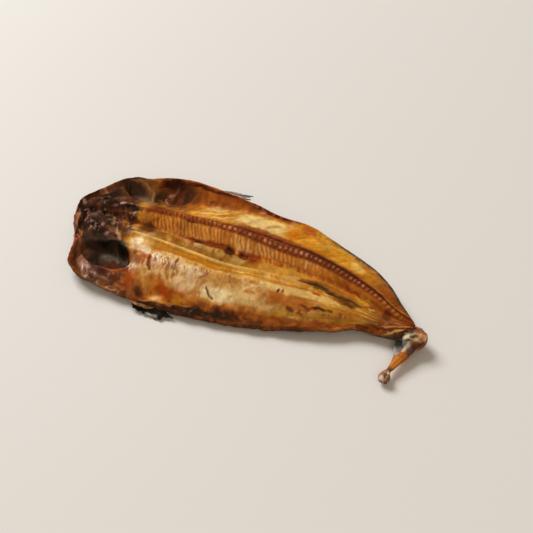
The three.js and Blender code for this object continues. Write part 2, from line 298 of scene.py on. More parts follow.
def near_profile(x, share, rim_top):
    fold = smooth_table(FOLD_HEIGHT, x)
    crown = smooth_table(FILLET_HEIGHT, x)
    keys = (0, 0.13, 0.24, 0.6, 0.82, 0.91, 1)
    heights = (
        rim_top, lerp(rim_top, crown, 0.16), lerp(rim_top, crown, 0.52), crown,
        lerp(fold, crown, 0.55), fold - RIDGE_GROOVE, fold,
    )
    return smooth_run(keys, heights, share)


def band_profile(x, share, rim_top):
    fold = smooth_table(FOLD_HEIGHT, x)
    backbone = smooth_table(BACKBONE_HEIGHT, x)
    foot = np.minimum(fold + BAND_STEP, backbone - 1)
    keys = (0, 0.34, 0.465, 0.585, 0.86, 1)
    heights = (fold, fold + 0.6, fold + 0.2, foot, lerp(foot, backbone, 0.8), backbone)
    return smooth_run(keys, heights, share)


def far_profile(x, share, rim_top):
    backbone = smooth_table(BACKBONE_HEIGHT, x)
    flesh = smooth_table(FLESH_HEIGHT, x)
    fade = ramp(x, -105, -85) * ramp(135 - x, 0, 60)
    groove = np.minimum(backbone, flesh) - SPINE_GROOVE * fade
    keys = (0, 0.14, 0.3, 0.62, 0.86, 1)
    heights = (backbone, groove, flesh, flesh + 0.4, lerp(flesh, rim_top, 0.7), rim_top)
    return smooth_run(keys, heights, share)


PROFILES = (near_profile, band_profile, far_profile)


def inside_oval(x, y, middle, half, turn, soft):
    """From 0 at the edge of a turned oval to 1 a share of its half size further in."""
    angle = math.radians(turn)
    dx, dy = x - middle[0], y - middle[1]
    u = (dx * math.cos(angle) + dy * math.sin(angle)) / half[0]
    v = (dy * math.cos(angle) - dx * math.sin(angle)) / half[1]
    return ramp(1 - np.hypot(u, v), 0, soft)


def distance_to_line(x, y, line):
    """Distance to a line of points, and the share of the line's points at the nearest place."""
    best = np.full(np.shape(x), np.inf)
    share = np.zeros(np.shape(x))
    for i, ((x0, y0), (x1, y1)) in enumerate(zip(line, line[1:])):
        t = ((x - x0) * (x1 - x0) + (y - y0) * (y1 - y0)) / ((x1 - x0) ** 2 + (y1 - y0) ** 2)
        t = np.clip(t, 0, 1)
        distance = np.hypot(x - lerp(x0, x1, t), y - lerp(y0, y1, t))
        share = np.where(distance < best, (i + t) / (len(line) - 1), share)
        best = np.minimum(best, distance)
    return best, share


class Patch:
    """Part of the fish's face as arrays: one row for each station along it, one column for each across it."""

    def __init__(self, along, strip, share):
        self.along, self.share = np.broadcast_arrays(along, share)
        self.strip = strip
        point = plan_point(self.along, strip, self.share)
        self.x, self.y = point[..., 0], point[..., 1]
        self.across = lerp(GUIDES[strip][1], GUIDES[strip + 1][1], self.share)
        self.rim = rim_height(self.along, self.across)
        width = np.linalg.norm(GUIDES[strip][0](self.along) - GUIDES[strip + 1][0](self.along), axis=-1)
        # distance from the edge, at the sides and at the snout
        from_side = (self.share * width, np.full_like(width, np.inf), (1 - self.share) * width)[strip]
        self.inset = np.minimum(from_side, self.along * FISH_LENGTH)
        self.tear_edge()

    def tear_edge(self):
        """Cooked edges are uneven: they draw back and wave, most at the head and along the near side."""
        axis_x = np.clip(self.x, *AXIS_ENDS)
        axis_y = AXIS_Y - AXIS_Y * ramp(self.x, 60, 130)
        away_x, away_y = self.x - axis_x, self.y - axis_y
        away = np.maximum(np.hypot(away_x, away_y), 1)
        head = fall(self.x, -125, -95) * (1 - 0.8 * ramp(self.y, 34, 46))
        near = fall(self.across, 0.1, 0.3)
        depth = 0.35 + 1.5 * head + 0.8 * near * (1 - head)
        depth = depth * (0.5 + 0.5 * cloud(self.x, self.y, 7, 91, 3)) * fall(self.inset, 0, 7)
        self.rim = self.rim + EDGE_WAVE * cloud(self.x, self.y, 9, 95, 3) * np.maximum(head, near)
        self.x = self.x - depth * away_x / away
        self.y = self.y - depth * away_y / away


def lower_face(patch):
    """Height of the underside: flat where it lies, rising like a shallow bowl to the rims."""
    outward = np.abs(2 * patch.across - 1)
    side_rise = ramp(outward, 0.5, 1.02) ** 1.3
    snout_rise = fall(patch.along, 0, 0.13)
    tail_rise = 0.6 * ramp(patch.along, 0.93, 1)
    rise = np.maximum(np.maximum(side_rise, snout_rise), tail_rise)
    return (patch.rim - RIM_THICKNESS / 2) * rise


def upper_face(patch):
    """Height of the upper face without its fine relief."""
    upper = PROFILES[patch.strip](patch.x, patch.share, patch.rim + RIM_THICKNESS / 2)
    for middle, half, turn, floor, wall in HOLLOWS:
        depth = inside_oval(patch.x, patch.y, middle, half, turn, wall)
        upper = lerp(upper, np.minimum(upper, floor), depth)
    at_snout = fall(patch.along, 0, 0.06)
    return lerp(upper, patch.rim + RIM_THICKNESS / 2, at_snout)


def close_at_edge(patch, upper, lower):
    """Both faces close in on the rim in a rounded edge."""
    upper = np.maximum(upper, lower + LEAST_THICKNESS)
    inset = np.clip(patch.inset / EDGE_ROUNDING, 0, 1)
    kept = lerp(EDGE_THICKNESS / RIM_THICKNESS, 1, np.sqrt(1 - (1 - inset) ** 2))
    middle = (upper + lower) / 2
    return lerp(middle, upper, kept), lerp(middle, lower, kept)


# Grid of the body's upper face, with what the relief and the colours are worked out from

def spread_to_start(share):
    return share**EDGE_CROWDING


def spread_to_end(share):
    return 1 - spread_to_start(1 - share)


def stations(steps):
    """Places across each strip, closer together towards the two side rims."""
    shares = [np.arange(count) / count for count in steps]
    return [spread_to_start(shares[0]), shares[1], np.append(spread_to_end(shares[2]), 1.0)]


LENGTHWISE = (np.arange(LENGTH_STEPS + 1) / LENGTH_STEPS)[:, None] ** LENGTH_CROWDING


def patches(steps):
    return [Patch(LENGTHWISE, strip, share[None, :]) for strip, share in enumerate(stations(steps))]


class Face:
    """The whole upper face as arrays of one shape."""

    def __init__(self, parts):
        join = lambda name: np.concatenate([getattr(part, name) for part in parts], 1)
        self.x, self.y, self.share, self.inset = (join(name) for name in ("x", "y", "share", "inset"))
        self.strip = np.concatenate([np.full(part.x.shape, part.strip) for part in parts], 1)
        closed = [close_at_edge(part, upper_face(part), lower_face(part)) for part in parts]
        self.upper = np.concatenate([upper for upper, _ in closed], 1)
        samples = np.linspace(0, 1, GUIDE_SAMPLES)
        fold, backbone = GUIDES[1][0](samples), GUIDES[2][0](samples)
        self.from_fold = self.y - np.interp(self.x, fold[:, 0], fold[:, 1])
        self.from_backbone = self.y - np.interp(self.x, backbone[:, 0], backbone[:, 1])
        self.wavy_x = self.x + 1.2 * cloud(self.x, self.y, 9, 11)
        self.wavy_y = self.y + 1.0 * cloud(self.x, self.y, 9, 23)

    def cloud(self, size, seed, stretch=1, slant=0, **more):
        """Noise over the face. stretch draws its lumps out along X; slant leans them."""
        return cloud((self.x + slant * self.y) / stretch, self.y, size, seed, **more)

    def streaks(self, seed, size_x, size_y, slant=0, lean=0, octaves=3):
        """Noise drawn out into streaks of the given size. slant leans them along X, lean along Y."""
        return cloud((self.x + slant * self.y) / size_x, (self.y + lean * self.x) / size_y, 1, seed, octaves)

    def after(self, low, high):
        """From 0 at X low to 1 at X high."""
        return ramp(self.x, low, high)

    def before(self, low, high):
        """From 1 at X low to 0 at X high."""
        return fall(self.x, low, high)

    def within(self, low, high, soft):
        """1 from X low to X high, with soft ends."""
        return between(self.x, low, high, soft)

    def blots(self, low, high, size, seed, **more):
        """Blots where the noise is above low, full where it is above high."""
        return ramp(self.cloud(size, seed, **more), low, high)

    def oval(self, middle, half, turn=0, soft=0.55):
        return inside_oval(self.wavy_x, self.wavy_y, middle, half, turn, soft)

    def stroke(self, line, width, taper=True, wavy=True):
        """1 on a line of points, falling to 0 at half the width from it, and thinner towards its ends."""
        x, y = (self.wavy_x, self.wavy_y) if wavy else (self.x, self.y)
        distance, share = distance_to_line(x, y, line)
        ends = np.sqrt(np.clip(4 * share * (1 - share), 0.02, 1)) if taper else 1
        return fall(distance, 0, width / 2 * ends)


# Relief

BAND_SLANT = 0.4  # how far the strokes of the band lean towards the tail, for each millimetre nearer
RIB_PITCH = 3.3
BEAD_PITCH = 4.3
PAIRED_BEADS_UP_TO = -6  # nearer the head than this, every other bead is faint
CHANCES = 512


def by_chance(index, seed, low, high):
    """One random value for each whole number."""
    values = np.random.default_rng(seed).uniform(low, high, CHANCES)
    return values[np.round(index).astype(int) % CHANCES]


def rib_lean(face):
    """Place along the band, in strokes."""
    return (face.x + BAND_SLANT * face.y + 1.3 * face.cloud(10, 31)) / RIB_PITCH


def rib_lines(face):
    """Raised strokes across the band, each with its own strength and foot, from 0 to 1."""
    lean = rib_lean(face)
    ridge = wave(lean) ** by_chance(lean, 34, 1.2, 3.5)
    tailward = face.after(-24, -6)
    foot = by_chance(lean, 33, 0.6, 0.78) - 0.1 * tailward - 0.14 * face.within(-8, 14, 5)
    top = by_chance(lean, 35, 0.72, 0.92)
    reach = ramp(face.share, foot, foot + 0.1) * fall(face.share, top, top + 0.1)
    strength = by_chance(lean, 37, 0.1, 0.75) + 0.5 * face.cloud(5, 39)
    strength += 0.35 * face.within(-12, 34, 8)
    in_band = (face.strip == 1) * face.after(-88, -74) * face.before(45, 92)
    return np.clip(ridge * reach * strength, 0, 1) * in_band


def spine_reach(face):
    """How far beyond the backbone's line its dark far edge runs."""
    return 7.6 - 1.2 * face.after(10, 80) - 2 * face.after(104, 122)


def bead_line(face):
    """Distance from the row of knobs along the near side of the backbone."""
    return face.from_backbone + 0.6 + 1.7 * face.after(-60, 0) - 0.9 * face.after(25, 60)


def spine_area(face):
    """1 over the row of vertebrae."""
    near = ramp(bead_line(face), -3.4, -0.8)
    far = fall(face.from_backbone - spine_reach(face), -2, -0.6)
    return near * far * face.after(-96, -82)


def bead_phase(face, x):
    """Place along the backbone, in vertebrae, which are closer together towards the tail."""
    return x / BEAD_PITCH + 0.045 * np.maximum(x - 50, 0) + 0.1 * face.cloud(14, 41)


def beads(face):
    """Vertebrae: chevrons that point to the tail, from 0 to 1."""
    middle = spine_reach(face) / 2 - 1
    phase = bead_phase(face, face.x + 0.5 * np.abs(face.from_backbone - middle))
    pairing = face.before(PAIRED_BEADS_UP_TO - 5, PAIRED_BEADS_UP_TO + 5)
    single = wave(phase) ** 1.3
    paired = np.clip(np.cos(np.pi * phase), 0, 1) ** 1.5
    reach = face.after(-86, -66) * face.before(120, 130)
    return lerp(single, np.maximum(paired, 0.35 * single), pairing) * spine_area(face) * reach


def bead_dots(face):
    """Pale knobs along the near side of the vertebrae."""
    phase = bead_phase(face, face.x + 1.6)
    along = wave(phase) ** 1.2 * by_chance(phase, 43, 0.3, 1)
    along = along * (1 - 0.5 * face.after(54, 70))
    across = fall(np.abs(bead_line(face) + 0.5 * face.cloud(5, 44)), 0.2, 1.7)
    return along * across * face.after(-78, -60) * face.before(120, 130)


def creases(face):
    """Wrinkles of the dried pale flesh: 0 in the fine lines, up to 1 on the soft folds between them."""
    bent = face.cloud(9, 51)
    field = cloud(face.x / 2.9 + 0.13 * face.y + 0.7 * bent, face.y / 6.5 + 0.4 * bent, 1, 53, 3, 0.5)
    return np.clip(1.7 * np.abs(field), 0, 1)


def tail_lines(face):
    """Fine lines of the near fillet that run together at the tail, -1 to 1."""
    return cloud(face.x / 20, face.share * 17, 1, 55, 3, 0.6)


def head_area(face):
    """1 over the charred head, 0 over the body."""
    edge = face.x + 3 * face.cloud(14, 57) + 0.1 * (face.y - 20)
    return fall(edge, *HEAD_EDGE)


def skull_area(face):
    """The rough part of the head, along its middle, and the jaw, which both carry painted highlight specks.
    """
    skull = ramp(face.y, -4, 4) * fall(face.y, 34, 40) * head_area(face)
    jaw = inside_oval(face.x, face.y, (-96, -39), (17, 7), -8, 0.5)
    return np.maximum(skull, jaw)


def lumps(face):
    """Ragged ridges of the head: they lean back near the jaw and run with the fish further up."""
    falling = face.streaks(61, 4, 8, slant=0.7)
    rising = face.streaks(65, 10, 4, lean=-0.5)
    return lerp(falling, rising, ramp(face.y, 24, 34))


RIDGES = (
    # rolled lip of the snout, the ring at its end and the flap below it
    (((-148, 22), (-143, 8), (-137, -3)), 5, 1.6),
    (((-137, 1), (-130, -3), (-129, -9), (-134, -8)), 2.4, 1.2),
    (((-129, -10), (-126, -20), (-121, -30)), 5, 1.0),
    (((-118, -24), (-111, -34), (-106, -42)), 7, 1.6),
    # edge of the near fillet over the gill, and the rolled belly edges
    (((-93, 8), (-83, -5), (-77, -16)), 7, 1.2),
    (((-117, -33), (-106, -39), (-70, -44)), 8, 1.6),
    # gill cover over the far gill
    (((-118, 61), (-106, 60), (-94, 53), (-88, 44)), 5, 1.6),
    (((25, -28.4), (31, -27.8), (36, -26)), 1.2, 0.4),
    (((15, -14.4), (20, -12.6), (26, -9.6)), 1.2, 0.5),
)
GROOVES = (
    (((46, 11.4), (60, 10.8), (70, 8.8), (84, 6.7), (98, 3.4)), 5, 1.1),
    (((-65, -13), (-62.5, -20), (-58, -27)), 3, 1.1),
    (((-13.5, -25.5), (-10, -30), (-5, -32)), 2.2, 1.1),
    (((7, 47.5), (12, 50), (20, 53)), 6, 0.5),
    (((-143, 22), (-138, 6), (-132, -6)), 5, 1.6),
    (((-132, -8), (-130.5, -8)), 3, 1.8),
    (((-130, 22), (-115, 22.5), (-100, 24)), 3, 1.0),
    (((-108, 31), (-102, 30.5), (-98, 29.5)), 4, 1.6),
    (((-95, 63), (-85, 69.5), (-74, 71.5), (-60, 72)), 6, 1.2),
    (((-122, 58), (-118, 50), (-108, 42), (-99, 40)), 5, 1.4),
)


def relief(face):
    """Fine relief of the whole upper face."""
    calm = ramp(face.inset, 0, 5)
    head = head_area(face)
    height = 0.4 * rib_lines(face) + 0.3 * beads(face) + 0.6 * bead_dots(face)
    fold_edge = ramp(face.from_fold, -5, -1) * fall(face.from_fold, 0, 1.4)
    height += 0.7 * fold_edge * face.after(-100, -90) * face.before(20, 80)
    height += head * ((0.35 + 0.45 * skull_area(face)) * lumps(face) + 0.5 * face.cloud(15, 63, octaves=2))
    for line, width, rise in RIDGES:
        height += rise * face.stroke(line, width, wavy=width < 6)
    for line, width, depth in GROOVES:
        height -= depth * face.stroke(line, width, wavy=width < 6)
    height += 0.3 * face.cloud(14, 71, stretch=1.6, octaves=2) * (1 - head)
    pale = (face.strip == 0) * ramp(face.share, 0.2, 0.3) * fall(face.share, 0.62, 0.7)
    height += 0.28 * creases(face) * pale * face.before(20, 50)
    height += 0.22 * tail_lines(face) * (face.strip == 0) * face.after(30, 70)
    near_edge = (face.strip == 0) * fall(face.share, 0.15, 0.28) * face.after(-62, -40)
    height += 0.7 * face.cloud(6, 79, stretch=1.7, octaves=3) * near_edge
    belly_wall = (face.strip == 2) * ramp(face.share, 0.5, 0.7) * face.before(-20, 0)
    height += 0.09 * np.cos(2 * np.pi * (face.x + 0.25 * face.y + face.cloud(12, 77)) / 5.6) * belly_wall
    wisps = face.streaks(81, 10, 3.4, lean=-0.5) * (face.strip == 2)
    height += 0.25 * wisps * fall(face.y, 56, 62) * (1 - head)
    return height * calm + 0.12 * face.cloud(3, 75) * (1 - calm)


# Colours

def to_linear(colour):
    value = np.asarray(colour, float) / 255
    return np.where(value <= 0.04045, value / 12.92, ((value + 0.055) / 1.055) ** 2.4)


class Paint:
    """Colour and gloss over a grid, laid on in coats."""

    def __init__(self, shape, colour, gloss):
        self.colour = np.ones((*shape, 3)) * np.array(colour, float)
        self.gloss = np.full(shape, float(gloss))

    def coat(self, cover, colour=None, gloss=None):
        """Lays colour and gloss over what is there: none of it at cover 0, all of it at cover 1."""
        cover = np.clip(cover, 0, 1)
        if colour is not None:
            self.colour = lerp(self.colour, np.array(colour, float), cover[..., None])
        if gloss is not None:
            self.gloss = lerp(self.gloss, gloss, cover)

    def shade(self, factor):
        self.colour = self.colour * np.asarray(factor)[..., None]


# Long stripes of the near fillet, as (colour, shares across it, ends along X, cover)
STRIPES = (
    ((184, 124, 34), (0.13, 0.85), (72, 130), 0.85),
    ((222, 178, 104), (0.53, 0.67), (22, 84), 0.75),
    ((182, 98, 30), (0.3, 0.5), (28, 66), 0.75),
    (TAN, (0.22, 0.3), (34, 92), 0.6),
    ((190, 134, 40), (0.16, 0.23), (34, 120), 0.8),
    (PALE, (0.44, 0.5), (58, 104), 0.5),
    ((158, 70, 20), (0.0, 0.14), (34, 106), 0.85),
    (PALE, (0.6, 0.66), (84, 112), 0.6),
    (RUST, (0.69, 0.73), (30, 66), 0.45),
)


def paint_near_fillet(face, coat):
    """Pale wrinkled flesh, a golden slope up to the fold, and a browned and charred edge."""
    area = face.strip == 0
    share = face.share + 0.022 * face.cloud(9, 101, stretch=1.5)
    coat(area, (196, 140, 68), 0.2)
    coat(area * face.blots(0.0, 0.7, 10, 103, stretch=1.3) * 0.6, (166, 98, 36))
    coat(area * face.blots(-0.1, 0.6, 9, 105, stretch=1.3) * 0.65, (226, 182, 118), 0.3)
    folds = creases(face) * (1 - 0.7 * face.after(20, 50))
    coat(area * fall(folds, 0.0, 0.35) * 0.4, (156, 90, 30))
    coat(area * ramp(folds, 0.5, 1) * 0.4, (230, 190, 130), 0.35)
    leaning = face.streaks(120, 3, 9, slant=0.45, octaves=2) * face.within(-66, -14, 8)
    coat(area * ramp(leaning, 0.1, 0.7) * 0.6, (232, 192, 142), 0.4)
    coat(area * ramp(-leaning, 0.1, 0.7) * 0.55, (164, 94, 38))
    mottle = face.cloud(3.6, 128, stretch=0.8, octaves=2) * face.within(-64, 100, 10)
    coat(area * ramp(mottle, 0.15, 0.7) * 0.5, (240, 202, 140), 0.2)
    coat(area * ramp(-mottle, 0.15, 0.7) * 0.4, (160, 94, 38))
    browner = area * between(face.y, -23, -16, 2) * face.within(-62, -22, 6)
    coat(browner * face.blots(-0.4, 0.4, 7, 104) * 0.5, (166, 94, 34))
    slope_foot = 0.735 - 0.04 * face.within(-42, -2, 12)
    slope = area * ramp(share, slope_foot - 0.025, slope_foot + 0.02)
    coat(slope, (182, 114, 24), 0.2)
    coat(slope * face.blots(0.0, 0.8, 9, 106, stretch=1.6) * 0.5, (168, 98, 14))
    paler = face.after(-12, 8) * (1 - 0.6 * face.after(42, 56))
    coat(slope * paler, (212, 156, 66))
    coat(slope * paler * face.blots(0.1, 0.8, 9, 107) * 0.5, (186, 120, 34))
    streaks = face.streaks(109, 2.6, 18, slant=0.35)
    coat(slope * ramp(streaks, 0.2, 1.0) * face.after(-20, 0) * 0.6, (234, 194, 120))
    coat(slope * ramp(streaks, 0.3, 1.1) * face.before(-20, 0) * 0.35, (204, 142, 56))
    coat(slope * ramp(-streaks, 0.2, 1.0) * 0.45, (164, 94, 16))
    coat(slope * face.within(30, 68, 8) * 0.25, (170, 98, 22))
    coat(slope * between(face.from_fold, -14, -10, 1.5) * face.within(30, 62, 6) * 0.5, (180, 110, 35))
    foot = area * between(share, slope_foot, slope_foot + 0.06, 0.02) * face.before(10, 60)
    coat(foot * 0.6, (172, 100, 18))
    below = area * between(share, slope_foot - 0.09, slope_foot - 0.02, 0.02) * face.after(-48, -30)
    coat(below * 0.6, (208, 150, 56))
    for colour, (low, high), (start, end), cover in STRIPES:
        stripe = between(share, low, high, 0.025) * between(face.x + 4 * face.cloud(8, 111), start, end, 7)
        coat(area * stripe * cover, colour)
    lines = tail_lines(face) * face.after(28, 60) * area * (1 - 0.6 * ramp(share, 0.72, 0.8))
    broken = 0.6 + 0.5 * face.cloud(8, 112)
    coat(ramp(lines, 0.25, 1.0) * 0.55 * broken, (144, 78, 20))
    coat(ramp(-lines, 0.25, 1.0) * 0.5 * broken, (216, 164, 68))
    coat(area * face.after(100, 116) * 0.85, (126, 62, 22))
    specks = face.blots(0.3, 0.8, 3, 116) * face.after(102, 112)
    coat(area * specks * 0.6, (192, 120, 80))
    coat(ramp(tail_lines(face), 0.0, 0.8) * area * face.after(96, 116) * 0.7, (82, 40, 16))
    ragged = share + 0.02 * face.cloud(4, 113)
    edge = 0.055 + 0.12 * face.after(-52, -16) - 0.06 * face.after(22, 60)
    ember = area * fall(share, 0.22, 0.34) * face.within(-66, -24, 10)
    coat(ember * 0.6, (188, 112, 34))
    coat(ember * face.blots(-0.1, 0.6, 8, 114) * 0.8, (158, 66, 18), 0.03)
    glow = area * between(ragged, edge - 0.02, edge + 0.05, 0.03) * face.within(-66, 40, 10)
    coat(glow * 0.75, (192, 112, 34), 0.06)
    browned = area * fall(ragged, edge - 0.05, edge + 0.02) * face.before(110, 120)
    coat(browned * 0.95, (136, 66, 20), 0.05)
    coat(browned * face.after(0, 24) * 0.75, (164, 90, 32), 0.03)
    coat(browned * face.blots(0.0, 0.7, 6, 117, stretch=1.6) * 0.6, (94, 42, 18))
    char_top = 0.03 + 0.09 * face.after(-46, -14) - 0.05 * face.after(8, 30)
    charred = area * fall(ragged, char_top - 0.02, char_top + 0.02) * face.within(-50, 38, 8)
    charred = charred * (1 - 0.4 * face.within(-6, 36, 8))
    coat(charred * face.blots(-0.8, 0, 7, 115, stretch=2) * 0.92, (52, 30, 22), 0.01)
    coat(charred * face.blots(0.0, 0.6, 5, 118, stretch=1.6) * 0.7, (40, 30, 22), 0.01)
    coat(charred * face.blots(0.4, 0.8, 2.6, 122, octaves=2) * 0.6, (120, 84, 66), 0.02)
    rim = area * fall(face.inset + 0.4 * face.cloud(5, 119), 0.8, 2.2)
    coat(rim * face.within(-60, 66, 8) * 0.85, (76, 44, 28), 0)
    coat(rim * face.within(-20, 66, 8) * face.blots(0.1, 0.6, 6, 108) * 0.6, (150, 78, 30), 0)
    coat(rim * face.within(74, 98, 5) * 0.7, (196, 140, 66))
    coat(rim * face.before(-62, -52) * 0.8, TAN)
    jaw_side = area * fall(ragged, 0.1, 0.22) * face.within(-92, -54, 6)
    coat(jaw_side * 0.5, (104, 48, 22), 0.05)
    coat(area * fall(ragged, 0.2, 0.3) * face.after(-62, -50), gloss=0.05)


def paint_band(face, coat):
    """Between the fold and the backbone: ribs over amber flesh, with fat at its foot, and painted highlights
    on the ribs.
    """
    area = face.strip == 1
    share = face.share + 0.03 * face.cloud(7, 121, stretch=1.5)
    coat(area, (204, 124, 36), 0.15)
    coat(area * face.blots(-0.1, 0.7, 9, 123, stretch=1.5) * 0.5, (156, 78, 20))
    coat(area * face.blots(0.0, 0.8, 8, 125, stretch=1.6) * 0.6, (214, 150, 56))
    strands = face.streaks(126, 1.9, 5, slant=0.5)
    coat(area * ramp(strands, 0.1, 0.8) * 0.7, (228, 164, 76))
    coat(area * ramp(-strands, 0.1, 0.8) * 0.6, (138, 64, 18))
    coat(area * ramp(share, 0.5, 0.6) * face.within(-14, 62, 8) * 0.3, (228, 160, 78))
    coat(area * ramp(share, 0.44, 0.54) * face.within(-76, -24, 8) * 0.55, (224, 146, 64))
    coat(area * face.within(-40, 66, 10) * ramp(share, 0.44, 0.56) * 0.55, (240, 164, 72))
    ribs = rib_lines(face)
    ribbed = area * between(share, 0.54, 0.86, 0.04)
    gaps = ribbed * fall(ribs, 0, 0.2) * face.after(-32, -20)
    coat(gaps * (0.3 + 0.15 * face.before(30, 44)), (142, 70, 20))
    strokes = np.cos(2 * np.pi * rib_lean(face)) + 0.5 * face.cloud(3.4, 122)
    headward = ribbed * face.within(-88, -20, 6)
    coat(headward * ramp(-strokes, -0.1, 0.8) * 0.5, (138, 64, 18))
    coat(headward * ramp(strokes, 0, 0.9) * 0.7, (230, 156, 66), 0.3)
    coat(ramp(ribs, 0.08, 0.6) * 0.8, (232, 162, 74), 0.3)
    # painted highlights on the ribs, strongest at their lower ends
    low_end = fall(share, 0.56, 0.68)
    coat(ramp(ribs, 0.35, 0.85) * (0.4 + 0.4 * low_end), (244, 206, 152), 0.5)
    fine = face.streaks(124, 1.2, 5, slant=0.5, octaves=2)
    fine_area = area * between(face.y, 20.5, 27, 1.5) * face.within(-10, 22, 4)
    coat(fine_area * ramp(fine, 0.1, 0.8) * 0.6, (240, 204, 150), 0.2)
    coat(area * ramp(share, 0.8, 0.92) * (0.65 - 0.35 * face.after(-10, 10)), (132, 60, 22))
    row = area * between(share, 0.86, 0.93, 0.02) * face.within(-84, 24, 10)
    coat(row * face.blots(-0.3, 0.4, 5, 130, stretch=1.5) * 0.75, (84, 36, 18))
    coat(row * face.blots(0.5, 0.9, 2.4, 132) * 0.6, (206, 156, 110), 0.1)
    fat_top = 0.44 - 0.03 * face.after(-12, 30)
    fat = area * fall(share, fat_top - 0.03, fat_top + 0.02)
    coat(fat, (158, 102, 30), 0.06)
    coat(fat * face.blots(0.0, 0.8, 7, 127) * 0.6, (188, 142, 72))
    coat(fat * ramp(face.streaks(129, 3.6, 9, slant=0.2), 0.1, 0.8) * 0.6, (126, 72, 18))
    coat(fat * face.after(0, 24) * 0.8, (200, 136, 48))
    upright = 0.5 + 0.5 * face.streaks(134, 2, 8, slant=0.2)
    coat(fat * ramp(share, 0.2, 0.34) * face.within(-56, -18, 5) * upright * 0.9, (204, 158, 92))
    coat(fat * between(share, 0.06, 0.2, 0.04) * face.within(-46, -14, 6) * 0.5, (128, 84, 28))
    foot = area * between(share, fat_top, 0.54, 0.03)
    burnt = foot * face.blots(-0.4, 0.3, 9, 131, stretch=1.7) * face.before(10, 40)
    coat(burnt * 0.75, (136, 54, 14), 0.3)
    line = area * between(share, 0.52, 0.55, 0.015) * face.within(12, 80, 8)
    coat(line * 0.5, (146, 66, 20))
    tailward = area * face.after(50, 76)
    coat(tailward * 0.4, (180, 98, 22))
    coat(area * face.after(70, 96) * 0.6, (144, 74, 22))
    coat(area * face.after(106, 120) * 0.7, (158, 84, 30))
    first = area * face.before(-88, -78) * ramp(share, 0.5, 0.7)
    mottle = face.cloud(3.4, 128, octaves=2)
    coat(first * ramp(mottle, 0, 0.6) * 0.7, (108, 50, 24), 0.02)
    coat(first * ramp(-mottle, 0.1, 0.7) * 0.5, (210, 144, 84), 0.1)
    coat(tailward * ramp(tail_lines(face), 0.2, 0.9) * 0.4, (140, 66, 18))
    ridge = ramp(face.from_fold + 0.3 * face.cloud(8, 133), -2.6, -1.2) * fall(face.from_fold, -0.2, 0.7)
    coat(ridge * face.after(-98, -88) * (1 - 0.6 * face.after(-4, 16)) * 0.9, (226, 178, 100), 0.2)


def paint_backbone(face, coat):
    """Dark row of vertebrae, with paler chevrons and knobs, and painted highlights on the knobs."""
    spine = spine_area(face)
    coat(spine, (142, 66, 22), 0.02)
    coat(spine * face.after(-22, 4) * 0.85, (92, 44, 24))
    coat(spine * face.within(50, 84, 8) * 0.3, (62, 32, 20))
    coat(spine * face.within(8, 46, 8) * 0.3, (176, 108, 62))
    near_half = spine * fall(face.from_backbone, -1.2, 1.4) * face.after(-16, 6)
    coat(near_half * 0.75, (138, 66, 30), 0.02)
    coat(spine * face.after(100, 112) * 0.7, (180, 100, 38))
    chevrons = beads(face)
    slanted = np.cos(2 * np.pi * (face.x + 0.45 * face.from_backbone + 0.5 * face.cloud(6, 136)) / RIB_PITCH)
    headward = spine * face.within(-72, -28, 8)
    strength = (1 - 0.15 * face.within(-14, 60, 14)) * (1 - 0.7 * headward)
    coat(spine * fall(chevrons, 0.0, 0.5) * 0.5 * strength, (94, 38, 12))
    pale_bars = ramp(chevrons, 0.4, 1) * (1 - 0.5 * face.after(-30, -4))
    coat(pale_bars * 0.45 * strength, (176, 98, 54), 0.03)
    ladder = ramp(chevrons, 0.4, 1) * face.after(70, 100) * fall(face.from_backbone, 0.6, 2.6)
    coat(ladder * 0.28, (190, 122, 84), 0.05)
    coat(spine * ramp(face.from_backbone, 1, 3) * face.after(60, 84) * 0.7, (96, 42, 20), 0)
    coat(headward * ramp(slanted, 0.1, 0.9) * 0.7, (192, 112, 52))
    coat(headward * ramp(-slanted, 0.1, 0.9) * 0.6, (116, 52, 20))
    far_half = spine * ramp(face.from_backbone, 0.8, 2.6) * face.within(-8, 108, 8)
    coat(far_half * 0.8, (70, 32, 20), 0)
    # pale knobs, with painted highlights on them
    dots = ramp(bead_dots(face), 0.1, 0.7)
    coat(dots * 0.7, (188, 114, 70), 0.05)
    coat(dots * face.after(-50, -6) * 0.7, (216, 160, 122), 0.08)
    beyond = face.from_backbone - spine_reach(face) + 0.3 * face.cloud(5, 135)
    coat(between(beyond, -2.2, 0.2, 1.1) * face.after(-34, 4) * 0.75, (82, 34, 14), 0.02)
    coat(between(beyond, 0.2, 2.2, 1) * face.within(-12, 106, 8) * 0.5, (172, 82, 25))
    halo = beyond + 1.4 * face.cloud(5, 138)
    coat(between(halo, -1, 3, 1.4) * face.within(-14, 36, 8) * 0.8, (142, 64, 24))


